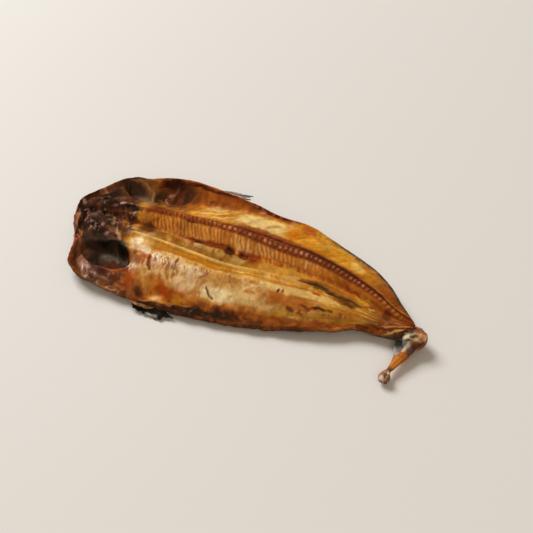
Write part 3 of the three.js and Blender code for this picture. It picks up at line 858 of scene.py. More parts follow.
def paint_far_fillet(face, coat):
    """Pale and golden flesh, the brown belly wall, and a rolled edge that is dark in places."""
    area = (face.strip == 2) * ramp(face.from_backbone - spine_reach(face), 0.2, 1.6)
    coat(area, (200, 130, 42), 0.2)
    wisps = face.streaks(141, 11, 4.2, lean=-0.65)
    pale = area * face.within(-52, 24, 9) * fall(face.y, 55, 61)
    coat(pale * face.blots(-0.3, 0.5, 13, 143, stretch=1.8) * 0.7, (226, 176, 92), 0.3)
    coat(pale * face.within(-20, 22, 6) * 0.8, (234, 198, 124), 0.25)
    coat(pale * ramp(wisps, 0.1, 0.9) * 0.5, (240, 200, 122), 0.35)
    coat(pale * ramp(-wisps, 0.2, 1.0) * (0.55 - 0.35 * face.within(-18, 22, 6)), (190, 120, 40))
    from_spine = face.from_backbone - spine_reach(face)
    low = area * fall(from_spine, 2.5, 6) * face.before(-30, 0)
    coat(low * 0.8, (224, 152, 38), 0.3)
    gold = area * face.after(20, 32)
    coat(gold * 0.85, (206, 136, 28))
    coat(gold * face.blots(0.1, 0.8, 10, 145) * 0.6, (194, 108, 18))
    coat(gold * face.blots(0.1, 0.9, 9, 147, stretch=1.5) * 0.6, (216, 158, 60))
    coat(gold * face.before(60, 80) * ramp(-wisps, 0.1, 0.8) * 0.45, (204, 112, 16))
    coat(gold * face.before(60, 80) * ramp(wisps, 0.3, 1) * 0.4, (226, 166, 68))
    hairs = face.streaks(149, 1.5, 12, slant=0.1)
    coat(gold * ramp(hairs, 0.2, 1.0) * ramp(face.share, 0.5, 0.8) * 0.45, (158, 96, 26))
    wall_foot = 53 + 6 * face.after(-60, -8) + 1.5 * face.cloud(9, 151)
    wall = area * ramp(face.y, wall_foot - 1, wall_foot + 5) * face.before(-16, 10)
    coat(wall * 0.95, (156, 78, 24), 0.02)
    coat(wall * ramp(face.streaks(153, 3.5, 16, slant=0.2), -0.1, 0.9) * 0.45, (180, 104, 34))
    coat(wall * ramp(face.streaks(155, 5, 9, slant=0.2), 0.1, 0.8) * 0.5, (122, 58, 18))
    tailward = area * face.after(70, 104)
    coat(tailward * 0.5, (160, 88, 22))
    coat(area * ramp(face.x - 0.6 * from_spine, 96, 106) * 0.8, (130, 60, 20))
    from_rim = face.inset + 0.7 * face.cloud(5, 157)
    rolled = area * fall(from_rim, 1.6, 3.2) * face.before(-40, -24)
    coat(rolled * 0.9, (158, 80, 26), 0.2)
    lip = area * face.within(-66, 30, 8)
    coat(lip * between(from_rim, 1.8, 5.4, 0.8) * 0.75, (114, 46, 18), 0.03)
    brown_rim = area * fall(from_rim + 2.4 * face.cloud(7, 156), 5, 12) * face.within(-40, 24, 8)
    coat(brown_rim * 0.9, (132, 60, 20), 0.2)
    deep = area * fall(from_rim, 2.8 + 2.4 * face.after(-14, -4), 6.6) * face.within(-16, 19, 4)
    coat(deep * 0.85, (74, 32, 22), 0.02)
    coat(deep * face.blots(0.2, 0.7, 3.4, 159, octaves=2) * 0.7, (164, 88, 46), 0.05)
    coat(lip * fall(face.inset + 0.5 * face.cloud(4, 158), 0.9, 2) * 0.8, (206, 146, 78), 0.05)
    skin = area * fall(from_rim + 1.6 * hairs, 2, 5.4) * face.after(46, 76)
    coat(skin * 0.9, (76, 58, 38), 0.02)
    fringe = area * ramp(hairs, -0.1, 0.7) * fall(from_rim, 4, 12) * face.after(56, 84)
    coat(fringe * 0.75, (94, 62, 28))


def paint_head(face, coat):
    """Charred head with ridges and pits, and small pinkish specks that are painted highlights on the wet
    char.
    """
    head = head_area(face)
    coat(head, (78, 44, 26), 0)
    coat(head * face.blots(0.0, 0.6, 12, 161, octaves=3) * 0.8, (46, 29, 20))
    coat(head * face.blots(0.1, 0.7, 10, 163, octaves=3) * 0.6, (124, 66, 32))
    ridges = lumps(face)
    rough = 0.45 + 0.55 * skull_area(face)
    coat(head * rough * ramp(-ridges, 0.0, 0.7) * 0.8, (38, 25, 18))
    coat(head * rough * ramp(ridges, 0.1, 0.8) * 0.65, (126, 74, 50))
    # painted highlights: small pinkish specks on the wet char
    highlight_flecks = face.blots(0.4, 0.75, 1.9, 165, octaves=2) * face.blots(-0.5, 0.3, 14, 166)
    coat(skull_area(face) * highlight_flecks * ramp(face.inset, 3, 8) * 0.8, (166, 124, 108), 0.06)
    pits = face.blots(0.2, 0.7, 3.4, 167, stretch=1.7, octaves=2)
    coat(skull_area(face) * pits * 0.5, (38, 27, 20), 0)
    rim = head * fall(face.inset + 0.4 * face.cloud(5, 169), 0.8, 2.2)
    coat(rim * 0.8, (142, 76, 38), 0.05)
    coat(rim * ramp(face.y, 34, 44) * 0.8, (190, 112, 48))


# Places that stand out, as (colour, X, Y, half length, half width, turn in degrees, cover, gloss)
SPOTS = (
    # near gill: the darkest spots are painted shade in the hollow and on its right wall, over a grey-green
    # membrane and a reddish floor
    (HOLLOW_SHADE, -114, -9, 22, 13, -32, 0.95, 0),
    (HOLLOW_SHADE, -97, -8, 22, 8, -16, 0.95, 0),
    (HOLLOW_SHADE, -98, -19, 28, 15, -10, 0.95, 0),
    ((92, 62, 44), -118, -21, 6, 13, 26, 0.7, 0),
    ((64, 44, 32), -110, -13, 9, 7, -20, 0.6, 0),
    ((46, 27, 19), -112, -18, 5, 8, 10, 0.8, 0),
    ((116, 104, 82), -101.5, -14.8, 8, 5, -8, 0.75, 0.02),
    ((70, 52, 42), -104, -20, 5, 3, 20, 0.6, 0),
    ((56, 36, 26), -97.5, -18.5, 3, 4, 20, 0.7, 0),
    ((134, 114, 90), -94, -14, 5, 3, -24, 0.6, 0.04),
    ((92, 46, 24), -93, -23, 13, 9, -16, 0.8, 0),
    ((140, 66, 30), -88, -27, 8, 6, 10, 0.6, 0.02),
    ((134, 76, 48), -97, -28.5, 9, 3.6, -8, 0.7, 0.02),
    (HOLLOW_SHADE, -80.5, -21, 3.6, 11, 32, 0.9, 0),
    # far gill with its metallic lining, and its cover
    ((96, 60, 36), -110, 52, 26, 17, -14, 0.85, 0),
    ((84, 62, 50), -114, 56, 10, 6, -28, 0.9, 0.01),
    ((138, 118, 94), -104.5, 53.5, 6, 8, -30, 0.85, 0.04),
    # painted highlight on the near flap
    ((156, 112, 94), -98, -37, 8, 5, -30, 0.5, 0.04),
    ((120, 98, 74), -99, 50, 5, 7, -30, 0.8, 0.03),
    ((58, 40, 28), -110.5, 46, 4, 8, -38, 0.5, 0),
    ((104, 66, 46), -104, -2.6, 7, 4, -20, 0.7, 0.01),
    ((92, 66, 50), -108, 57, 8, 9, -24, 0.8, 0.01),
    ((134, 76, 38), -105.5, 45.5, 8, 3.6, -18, 0.85, 0.02),
    ((118, 70, 30), -97, 60, 16, 8, -18, 0.9, 0.02),
    ((100, 62, 28), -90, 53, 6, 12, -20, 0.85, 0.01),
    # painted glint on the gill cover
    ((160, 146, 124), -95, 48, 2.4, 7, -24, 0.6, 0.05),
    ((88, 58, 38), -98.5, 44, 5, 6, -30, 0.7, 0.01),
    ((146, 106, 80), -91.5, 40, 3.4, 6, -30, 0.8, 0.04),
    # pocket of the belly lining, with painted shadow under the rolled far rim and two painted pink highlights
    ((112, 60, 24), -67, 57, 15, 22, 8, 0.8, 0.0),
    ((94, 48, 30), -78, 58, 19, 23, 8, 0.85, 0),
    ((56, 34, 20), -88, 50, 6, 14, 12, 0.85, 0),
    ((94, 42, 24), -75.5, 50, 11, 12, 14, 0.8, 0),
    ((92, 44, 22), -60, 60, 7, 11, 10, 0.5, 0),
    ((100, 52, 28), -74, 63, 8, 10, 0, 0.7, 0.01),
    ((52, 30, 18), -67, 60, 6, 12, 8, 0.7, 0),
    # painted shadow under the rolled far rim
    ((48, 28, 18), -80, 69, 18, 4, 6, 0.8, 0),
    ((50, 30, 20), -78.5, 58, 2.4, 12, 16, 0.7, 0),
    # painted pink highlights
    ((200, 144, 114), -83.4, 62, 4, 2.4, 30, 0.8, 0.1),
    ((150, 92, 66), -80.5, 65, 1.8, 4, -24, 0.6, 0.05),
    ((184, 94, 22), -57, 49.5, 9, 5, 0, 0.6, 0.15),
    # skull: its pinkish spots are painted highlights on the wet char, the near-white one a painted glint
    ((48, 31, 22), -123, 40, 6, 12, 6, 0.85, 0),
    ((56, 34, 22), -128, 29, 20, 6, 2, 0.7, 0),
    ((134, 74, 38), -134, 44.5, 9, 5, 28, 0.85, 0.02),
    ((196, 134, 88), -133.5, 43, 5, 1.8, -40, 0.7, 0.08),
    ((92, 46, 28), -143, 35, 8, 5, 30, 0.7, 0),
    ((196, 142, 112), -148.6, 31.5, 3.4, 2, -40, 0.8, 0.1),
    ((130, 74, 42), -114, 36.5, 12, 4, 8, 0.75, 0.02),
    ((206, 152, 122), -112, 33, 3.8, 2.2, 26, 0.85, 0.15),
    ((170, 116, 90), -117, 29.5, 3, 1.6, 10, 0.6, 0.06),
    ((30, 22, 16), -103.5, 30.6, 8, 2.8, -6, 0.95, 0),
    ((206, 196, 182), -99.6, 27.6, 1.8, 1.2, 20, 0.8, 0.4),
    ((112, 50, 26), -98, 23, 12, 2, 3, 0.7, 0.02),
    ((198, 122, 44), -88, 27.5, 10, 3.6, 6, 0.8, 0.15),
    ((62, 44, 36), -126, 15, 12, 6, -20, 0.7, 0),
    ((110, 74, 58), -133, 19, 6, 3, -30, 0.6, 0.03),
    ((188, 138, 118), -118, 10, 2.6, 2, 30, 0.8, 0.15),
    ((170, 122, 100), -123, 6, 1.8, 2, 30, 0.7, 0.1),
    ((160, 104, 84), -111, 2, 2.4, 3.4, 24, 0.8, 0.08),
    ((152, 92, 50), -107, 8, 9, 5, -20, 0.8, 0.05),
    ((206, 152, 104), -104, 6, 2.4, 8, 34, 0.8, 0.2),
    ((186, 132, 88), -99.5, 0, 2.2, 7, 34, 0.8, 0.15),
    ((190, 146, 72), -112.5, 15.5, 2.6, 3.4, 20, 0.7, 0.1),
    ((186, 118, 50), -102.5, 18, 5, 4.6, -10, 0.8, 0.1),
    ((190, 122, 40), -92.5, 19, 7, 5, 0, 0.85, 0.12),
    ((104, 56, 32), -100, 13, 9, 2.4, 4, 0.85, 0.02),
    ((92, 58, 30), -84, 20, 8, 6, 0, 0.85, 0.02),
    ((130, 84, 34), -74, 19, 6, 4.5, 0, 0.6, 0.1),
    # lip, ring and flap: the pale pinkish spots are painted highlights on the flap's glossy ridge
    ((172, 104, 66), -145, 12, 3, 13, 24, 0.85, 0.12),
    ((52, 30, 20), -139.5, 9, 3.6, 14, 24, 0.8, 0),
    ((150, 76, 40), -131, -9, 5, 9, 30, 0.85, 0.06),
    ((60, 26, 20), -131.3, -8, 2.2, 2, -20, 0.9, 0),
    ((96, 52, 28), -124, -22, 9, 16, 24, 0.85, 0),
    ((122, 54, 24), -127, -26, 7, 16, 34, 0.8, 0.02),
    ((70, 34, 20), -120.5, -29, 3, 15, 34, 0.85, 0),
    ((160, 104, 70), -114, -29, 5, 9, 34, 0.8, 0.05),
    ((170, 118, 88), -111, -33, 5, 8, 35, 0.8, 0.05),
    ((238, 204, 190), -106.6, -38.4, 5, 10, 30, 0.95, 0.35),
    ((176, 126, 98), -104, -39, 5, 6, 35, 0.7, 0.05),
    ((154, 112, 92), -98, -37, 5, 4, -10, 0.4, 0.03),
    ((150, 76, 30), -112, -41, 8, 3, -20, 0.7, 0.02),
    ((176, 126, 84), -94, -43.6, 9, 3.4, -14, 0.6, 0.02),
    ((84, 38, 20), -81, -29, 7, 6, 10, 0.6, 0.02),
    # jaw and the head's end of the near fillet, with painted highlights: pinkish ones on the jaw, near-white
    # ones on the glossy head end of the fillet
    ((90, 50, 34), -93, -38, 20, 8, -6, 0.9, 0.02),
    ((150, 116, 104), -98, -39.6, 6, 2.6, -20, 0.7, 0.2),
    ((158, 116, 98), -90, -40, 5, 2.4, 10, 0.7, 0.2),
    ((130, 58, 22), -78, -34, 16, 11, -25, 0.9, 0.05),
    ((176, 92, 34), -76, -36, 9, 4, 24, 0.6, 0.08),
    (AMBER, -66, -33, 6, 6, -25, 0.6, 0.3),
    ((228, 190, 160), -69, -46.5, 2, 1, 0, 0.8, 0.6),
    ((164, 92, 38), -83.5, -13, 4, 12, 24, 0.8, 0.1),
    ((196, 124, 50), -88.5, 5, 2.4, 12, 20, 0.6, 0.2),
    ((224, 180, 112), -79, 0, 14, 18, 24, 0.85, 0.4),
    # near-white painted highlights on the glossy head end of the fillet
    ((246, 222, 188), -84, 2, 6, 12, 24, 0.9, 0.6),
    ((244, 220, 190), -76.5, -8.5, 8, 6, -12, 0.95, 0.6),
    ((240, 214, 180), -68.5, -10, 4, 7, 20, 0.85, 0.5),
    ((186, 128, 54), -75, 5, 2.4, 12, 24, 0.5, 0.3),
    ((236, 206, 170), -60, -12, 5, 5, 0, 0.9, 0.5),
    ((218, 170, 108), -54, -13.5, 6, 5, 0, 0.8, 0.3),
    ((166, 80, 24), -71, -17, 13, 8, -24, 0.95, 0.03),
    ((188, 116, 50), -67, -19, 4, 2.4, -30, 0.5, 0.05),
    # painted pink highlight
    ((202, 136, 84), -64.5, -22, 3, 3, 0, 0.6, 0.2),
    ((244, 216, 180), -72.5, -28, 4, 9, 48, 0.9, 0.6),
    ((208, 150, 66), -64, -30, 6, 6, 0, 0.7, 0.3),
    ((178, 88, 22), -50, -34, 12, 6, -34, 0.85, 0.05),
    ((158, 58, 16), -41, -37.5, 10, 4, -12, 0.85, 0.05),
    ((200, 128, 32), -31, -38.5, 9, 3.4, 0, 0.8, 0.05),
    ((66, 34, 20), -61, -41, 6, 4, -20, 0.85, 0.1),
    ((202, 140, 56), -56, -36.5, 7, 6, 0, 0.7, 0.3),
    ((224, 184, 118), -47.5, -42.8, 5, 2.8, 0, 0.85, 0.08),
    # near fillet
    ((116, 66, 30), -43.5, -12.5, 1.8, 4.4, 10, 0.9, 0.1),
    ((132, 74, 32), -43, -19, 4, 4, 0, 0.7, 0.1),
    ((224, 182, 128), -37, -16, 7, 8, 12, 0.85, 0.4),
    ((228, 188, 140), -27, -18, 6, 8, 15, 0.85, 0.4),
    ((158, 96, 42), -28, -10.5, 1.6, 3, 10, 0.7, 0.1),
    ((136, 76, 34), -18, -15.5, 1.4, 5, 8, 0.8, 0.1),
    ((174, 118, 54), -4, -18.5, 19, 8, 0, 0.8, 0.1),
    ((170, 104, 34), 5.5, -18, 6, 7, 0, 0.7, 0.15),
    ((244, 216, 160), -2, -28, 19, 7, 8, 0.95, 0.35),
    ((240, 208, 150), 9, -26, 7, 4, 20, 0.7, 0.3),
    ((228, 186, 132), -30, -28, 14, 8, 6, 0.75, 0.3),
    ((222, 164, 106), -53, -23, 7, 6, 10, 0.6, 0.15),
    ((148, 84, 38), -75, -20, 8, 7, 0, 0.85, 0.02),
    ((232, 182, 120), -80, -9, 7, 7, 20, 0.8, 0.2),
    ((222, 180, 108), 16, -25, 16, 6, 8, 0.8, 0.3),
    ((230, 186, 116), 11, -20.5, 15, 6, 6, 0.6, 0.25),
    ((174, 118, 48), -66, 2, 8, 8, 20, 0.5, 0.1),
    ((170, 88, 34), 18.5, -20.3, 6, 2.4, 8, 0.8, 0.15),
    ((190, 114, 42), 26, -17, 6, 4, 0, 0.6, 0.2),
    ((160, 80, 26), 37, -16, 7, 8, 0, 0.6, 0.15),
    ((60, 34, 20), 36, -10.3, 1.4, 2.8, 0, 0.9, 0.1),
    ((84, 48, 26), 39.8, -9.6, 1.6, 2.4, 0, 0.85, 0.1),
    ((104, 46, 18), 49, -21, 5, 2.6, -10, 0.9, 0.05),
    ((112, 52, 20), 57, -21.3, 4, 1.5, 6, 0.7, 0.05),
    ((110, 46, 16), 59, -15.3, 6, 1.8, 6, 0.8, 0.05),
    ((70, 28, 14), 68, -13.3, 6.6, 1.7, 10, 0.95, 0.05),
    ((40, 18, 12), 75.5, -12, 3.8, 1.8, 10, 0.95, 0.05),
    ((160, 54, 16), 85, -11.5, 2.6, 2.2, 0, 0.9, 0.2),
    ((150, 62, 16), 92, -10.3, 2, 1.8, 0, 0.7, 0.2),
    ((215, 165, 80), 70, -6, 10, 3, -6, 0.5, 0.1),
    ((160, 64, 14), 62.5, -2, 5, 2.2, -5, 0.9, 0.1),
    ((166, 76, 16), 84, -24, 16, 4, 22, 0.8, 0.15),
    # foot of the band, and the slits; the dark patches at the band's foot are char with painted shade under
    # its raised edge, the small pink one a painted highlight
    ((54, 27, 18), -41, 20.5, 6.6, 2.6, 0, 0.95, 0.02),
    ((196, 152, 104), -38, 17, 6, 3.4, 0, 0.7, 0.15),
    ((140, 60, 20), -56.5, 19.5, 4, 5, 20, 0.8, 0.15),
    ((142, 58, 18), -44.5, 18, 2, 6, 20, 0.8, 0.15),
    ((140, 58, 16), -26, 22.3, 14, 2.4, -3, 0.75, 0.2),
    ((146, 60, 18), 4, 18, 15, 5, -4, 0.65, 0.1),
    ((208, 144, 70), -55, 21.5, 9, 5, 0, 0.5, 0.1),
    ((44, 22, 16), -13.5, 19, 7.4, 3.8, 0, 0.95, 0.02),
    ((50, 22, 16), -2, 18.5, 4.8, 3.6, 0, 0.95, 0.02),
    ((112, 40, 14), 7, 18.2, 5, 2.6, 0, 0.8, 0.03),
    ((164, 104, 100), -1.6, 18.6, 1.8, 1.4, 0, 0.7, 0.3),
    ((140, 64, 20), -14.5, 13.5, 1.6, 6, 0, 0.7, 0.1),
    ((182, 142, 84), -5, 12.4, 8, 3, 0, 0.6, 0.1),
    ((96, 52, 20), -85, 19, 7, 6, 0, 0.8, 0.05),
    ((120, 58, 14), 83, 0, 13, 5, -6, 0.7, 0.05),
    ((96, 52, 18), 86.8, 1.4, 10, 8, -8, 0.85, 0.02),
    ((134, 78, 22), 98, 1.6, 6, 5, -8, 0.7, 0.02),
    ((186, 110, 28), 91, -9, 9, 4.4, 6, 0.7, 0.05),
    ((74, 38, 20), 88, -1, 4, 3.4, -8, 0.7, 0.02),
    ((78, 38, 20), 115, 1, 4.4, 6, 0, 0.7, 0.02),
    ((120, 58, 20), 51, 12, 9, 3.4, 4, 0.85, 0.02),
    ((62, 36, 18), 59, 11, 9, 4.4, -6, 0.95, 0.02),
    ((200, 152, 40), 96.5, 9.4, 7.4, 4.4, -20, 0.85, 0.1),
    ((206, 172, 106), 104, 3.4, 3.6, 2, -20, 0.85, 0.1),
    ((132, 62, 20), 104, 5.4, 3, 1.8, -10, 0.8, 0.15),
    ((222, 176, 104), 42, 12.4, 6, 2, 0, 0.8, 0.2),
    # far fillet, with two painted pink highlights on its dark rim
    ((222, 176, 104), -38, 55.5, 9, 5, 10, 0.7, 0.3),
    ((182, 104, 30), -25, 49, 6, 3.6, 30, 0.8, 0.15),
    ((176, 92, 26), -31, 47.6, 5, 2.6, 20, 0.7, 0.15),
    ((196, 154, 84), 13, 50.5, 9, 3.6, 34, 0.85, 0.15),
    ((184, 86, 18), 39, 59.5, 8, 12, 10, 0.85, 0.15),
    ((206, 112, 20), 30, 50, 9, 10, 0, 0.8, 0.15),
    ((96, 46, 18), -47, 61.5, 2.6, 3.2, 0, 0.8, 0.1),
    ((120, 58, 16), -35, 62, 5, 6, 0, 0.6, 0.1),
    ((116, 52, 16), -27, 60, 5, 5, 0, 0.6, 0.1),
    ((206, 132, 108), -2, 63.3, 3, 1.5, 0, 0.85, 0.2),
    ((216, 152, 108), 24, 59, 2.4, 11, 8, 0.8, 0.3),
    ((226, 182, 100), 84, 37, 10, 5, -25, 0.7, 0.3),
    ((170, 88, 30), 112, 24, 10, 4, -45, 0.7, 0.15),
)

# Lines that stand out, as (colour, line, width, cover, gloss)
MARKS = (
    ((150, 78, 22), ((50, 15), (64, 14.6), (82, 10.5)), 5, 0.6, 0.2),
    ((140, 90, 36), ((46, 11.6), (60, 11), (72, 8.8), (86, 6.6), (99, 3.6)), 9, 0.5, 0.02),
    ((82, 56, 28), ((47, 11.6), (60, 11), (70, 9), (84, 6.9), (97, 3.8)), 4.4, 0.85, 0.02),
    ((108, 54, 24), ((-65, -13), (-62.5, -20), (-58, -27)), 3.4, 0.95, 0.05),
    ((116, 72, 34), ((-13.5, -25.5), (-10, -30), (-4.5, -32)), 2.6, 0.95, 0.05),
    ((240, 204, 126), ((-50, 45), (-40, 48.5), (-27, 53)), 4, 0.75, 0.35),
    ((240, 204, 126), ((-38, 44.5), (-28, 46), (-20, 51)), 3, 0.7, 0.35),
    ((180, 98, 28), ((-52, 48), (-44, 49.5), (-36, 53)), 2.6, 0.5, 0.15),
    ((238, 200, 132), ((17, -14.6), (23, -12.4), (29, -10.2)), 1.6, 0.9, 0.3),
    ((200, 130, 58), ((-61, -46.5), (-50, -44.4), (-36, -42.2), (-18, -40.6)), 2.4, 0.8, 0.06),
    ((42, 40, 26), ((-21, -42), (-13, -41.6), (-5, -40.2), (9, -39.4)), 2.4, 0.8, 0.02),
    (
        (110, 45, 20), ((-54, 22.8), (-46, 22), (-38, 22.8), (-30, 22.2), (-22, 22.8), (-14, 21.6)),
        1.9, 0.8, 0.03,
    ),
    # painted shadow line under the rolled far rim
    ((66, 30, 16), ((-96, 62), (-86, 68), (-74, 71), (-58, 71.6), (-42, 70.8), (-26, 68.8)), 4, 0.85, 0),
    ((180, 100, 36), ((-90, 70.6), (-80, 73.8), (-66, 75), (-50, 74.4), (-34, 72.6)), 3.4, 0.85, 0.03),
    ((200, 160, 134), ((-86, 58), (-82.5, 51), (-79, 44)), 1.8, 0.8, 0.3),
    ((142, 52, 16), ((76, 19.6), (86, 15), (96, 11), (106, 6.8), (116, 2.6)), 1.6, 0.8, 0.05),
    ((110, 48, 18), ((104, 0.4), (116, -1.4), (130, -3)), 1.4, 0.7, 0.05),
    # painted shade over the arch of the near gill hollow
    ((22, 16, 12), ((-116, -8), (-106, -6.4), (-96, -7), (-87, -12), (-80, -22)), 3.4, 0.9, 0),
    ((116, 104, 86), ((-99, -10.4), (-92, -11.6), (-84, -17.4), (-78, -26)), 1.3, 0.7, 0.02),
    ((200, 118, 66), ((-138, 1), (-132, -2.6), (-128.5, -9)), 2, 0.8, 0.2),
    ((190, 110, 60), ((-135, -7), (-130.5, -12), (-127, -20)), 1.8, 0.6, 0.1),
    ((160, 90, 48), ((-106, -30.4), (-96, -32), (-85, -31)), 1.6, 0.7, 0.05),
    ((122, 70, 40), ((-128, 23.6), (-115, 24.6), (-105, 26), (-95, 28.6)), 1.2, 0.5, 0.02),
    ((174, 112, 52), ((-120, 59), (-111, 60), (-102, 57.6), (-94, 51), (-90, 43)), 2, 0.8, 0.03),
    ((40, 26, 18), ((-118.5, 57), (-116.5, 50), (-111, 43.6), (-101, 40.6)), 2.8, 0.9, 0),
    ((206, 136, 66), ((-110, 66), (-100, 67), (-90, 70)), 3, 0.7, 0.1),
    ((96, 42, 20), ((96, -14), (104, -12.4), (112, -12)), 3.4, 0.7, 0.02),
    ((156, 54, 16), ((66, -23.6), (80, -19.6), (96, -14.6)), 3.4, 0.6, 0.03),
    ((100, 44, 22), ((110, -11.8), (121, -9.6), (131, -4.8)), 2.6, 0.85, 0.02),
    ((204, 132, 78), ((113, -9.6), (124, -7), (134, -2.2)), 1.9, 0.85, 0.05),
    ((222, 176, 98), ((114, -14), (121, -12), (129, -7.6)), 2.2, 0.95, 0.08),
    ((120, 48, 18), ((-58, 22.6), (-40, 21), (-22, 20.2), (-6, 18.6), (14, 18)), 2.6, 0.7, 0.1),
    ((206, 144, 84), ((-108, -40.4), (-99, -44), (-90, -46), (-78, -47.4)), 2, 0.75, 0.03),
    ((54, 32, 22), ((-64, -46), (-54, -46.6), (-42, -45.6), (-26, -44.6), (-8, -42.6)), 2.6, 0.7, 0),
)

CURLS = (-68, -62, -52, -43, -34)  # along X, where pale flesh curls up beside the backbone


def paint_details(face, coat):
    """The spots, marks and curls, and some rows of small marks, among them painted shade and painted
    highlights where noted.
    """
    broken = np.clip(0.92 + 0.3 * face.cloud(3, 175), 0, 1)
    for colour, x, y, half_length, half_width, turn, cover, gloss in SPOTS:
        coat(cover * broken * face.oval((x, y), (half_length, half_width), turn), colour, gloss)
    for colour, line, width, cover, gloss in MARKS:
        coat(cover * face.stroke(line, width) ** 0.6, colour, gloss)
    for number, x in enumerate(CURLS):
        rise = 1.2 + 0.7 * (number % 3)
        curl = ((x - 1.4, 22.4), (x, 22.6 + rise), (x + 1.6, 22.2 + 1.2 * rise))
        coat(0.6 * face.stroke(curl, 2.2) ** 0.6, (220, 160, 98), 0.08)
    ticks = face.streaks(171, 1.8, 4.2, slant=0.3, octaves=2)
    tick_area = (face.strip == 0) * between(face.share, 0.42, 0.64, 0.04) * face.within(-62, 8, 6)
    coat(tick_area * ramp(ticks, 0.5, 1.0) * 0.65, (134, 78, 36), 0.02)
    jaw = face.within(-102, -70, 5) * fall(face.y, -37, -31)
    coat(jaw * face.blots(-0.1, 0.5, 5, 185, stretch=1.5) * 0.65, (70, 38, 28), 0)
    # painted pinkish highlight specks on the wet jaw
    coat(jaw * face.blots(0.35, 0.8, 3, 187) * 0.7, (178, 134, 118), 0.08)
    warm = face.within(-88, -60, 5) * between(face.y, -40, -28, 3)
    coat(warm * face.blots(-0.2, 0.5, 7, 189) * 0.7, (168, 74, 22), 0.03)
    row = (face.strip == 0) * fall(np.abs(face.share - 0.27), 0.01, 0.04) * face.within(46, 92, 5)
    coat(row * ramp(face.streaks(173, 1.6, 4), 0.1, 0.6) * 0.7, (120, 64, 28))


def upper_paint(face):
    paint = Paint(face.x.shape, GOLD, 0.2)
    paint_near_fillet(face, paint.coat)
    paint_band(face, paint.coat)
    paint_far_fillet(face, paint.coat)
    paint_backbone(face, paint.coat)
    paint_head(face, paint.coat)
    paint_details(face, paint.coat)
    paint.shade(1 + 0.05 * face.cloud(2.6, 181, octaves=2) + 0.05 * face.cloud(7, 183))
    return paint


def lower_paint(x, y):
    """Skin side: grey skin browned in blots where the grill touched it, darker along the back and at the
    head, and darkest towards the near edge, where it is charred and painted with the shade under the raised
    edge.
    """
    paint = Paint(x.shape, (132, 104, 78), 0.15)
    paint.coat(ramp(cloud(x, y, 18, 191), -0.2, 0.8) * 0.7, BROWN)
    paint.coat(fall(np.abs(y - 12 + 3 * cloud(x, y, 20, 193)), 8, 22), UMBER)
    paint.coat(ramp(cloud(x, y, 6, 195), 0.2, 0.9) * 0.45, SILVER)
    paint.coat(fall(x, *HEAD_EDGE) * 0.7, UMBER)
    # charred, and painted shade under the raised near edge
    paint.coat(ramp(y, 6, -30) * between(x, -92, 134, 10) * 0.85, (58, 36, 22))
    return paint


# Meshes

def place(points):
    """From the drawing's millimetres to the frame's metres: the two low corners fall together."""
    snout_x = snout_rim(np.linspace(0, 1, RIM_SAMPLES))[:, 0]
    drawn_low = np.array([snout_x.min(), NEAREST_Y, 0])
    low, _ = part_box(NODE)
    return (np.asarray(points) - drawn_low) * MILLIMETRE + np.array(low)


def shell_faces(rows, columns, turn):
    """Faces over rings of equal length, with the two ends closed between the two chains of their ring."""
    ring = np.arange(columns)
    after = (ring + 1) % columns
    faces = []
    for row in range(rows - 1):
        here, there = row * columns, (row + 1) * columns
        faces += np.stack([here + ring, there + ring, there + after, here + after], 1).tolist()
    for first, flip in ((0, False), ((rows - 1) * columns, True)):
        low, high = 0, columns - 1
        while high - low > 1:
            step_low = low / turn < (columns - 1 - high) / (columns - turn)
            corner = low + 1 if step_low else high - 1
            triangle = [first + low, first + corner, first + high]
            faces.append(triangle[::-1] if flip else triangle)
            low, high = (corner, high) if step_low else (low, corner)
    return faces


def make_piece(name, rings, turn, material, paint):
    """One mesh object over rings of points that turn over to the underside at the given column."""
    rows, columns = rings.shape[:2]
    mesh = bpy.data.meshes.new(name)
    mesh.from_pydata(place(rings.reshape(-1, 3)).tolist(), [], shell_faces(rows, columns, turn))
    mesh.polygons.foreach_set("use_smooth", np.ones(len(mesh.polygons), bool))
    tint = mesh.color_attributes.new("tint", "FLOAT_COLOR", "POINT")
    rgb = to_linear(np.clip(paint.colour, 0, 255)).reshape(-1, 3)
    rgba = np.concatenate([rgb, np.ones((len(rgb), 1))], 1)
    tint.data.foreach_set("color", rgba.astype(np.float32).ravel())
    oiled = mesh.attributes.new("gloss", "FLOAT", "POINT")
    oiled.data.foreach_set("value", paint.gloss.astype(np.float32).ravel())
    mesh.materials.append(material)
    piece = bpy.data.objects.new(name, mesh)
    bpy.context.scene.collection.objects.link(piece)
    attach(piece, "root")
    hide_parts(NODE)


# Materials

GRAIN_DETAIL = 3
GRAIN_FROM = (0.3, 0.7)
GRAIN_TO = (0.9, 1.08)
DRY_ROUGHNESS = 0.6
SMOOTHED_BY_GLOSS = 0.35
OIL_ROUGHNESS = 0.16
GLOW_RADIUS = (1, 0.4, 0.15)
GLOW_DEPTH = 2.5


def set_inputs(node, values):
    for name, value in values.items():
        node.inputs[name].default_value = value


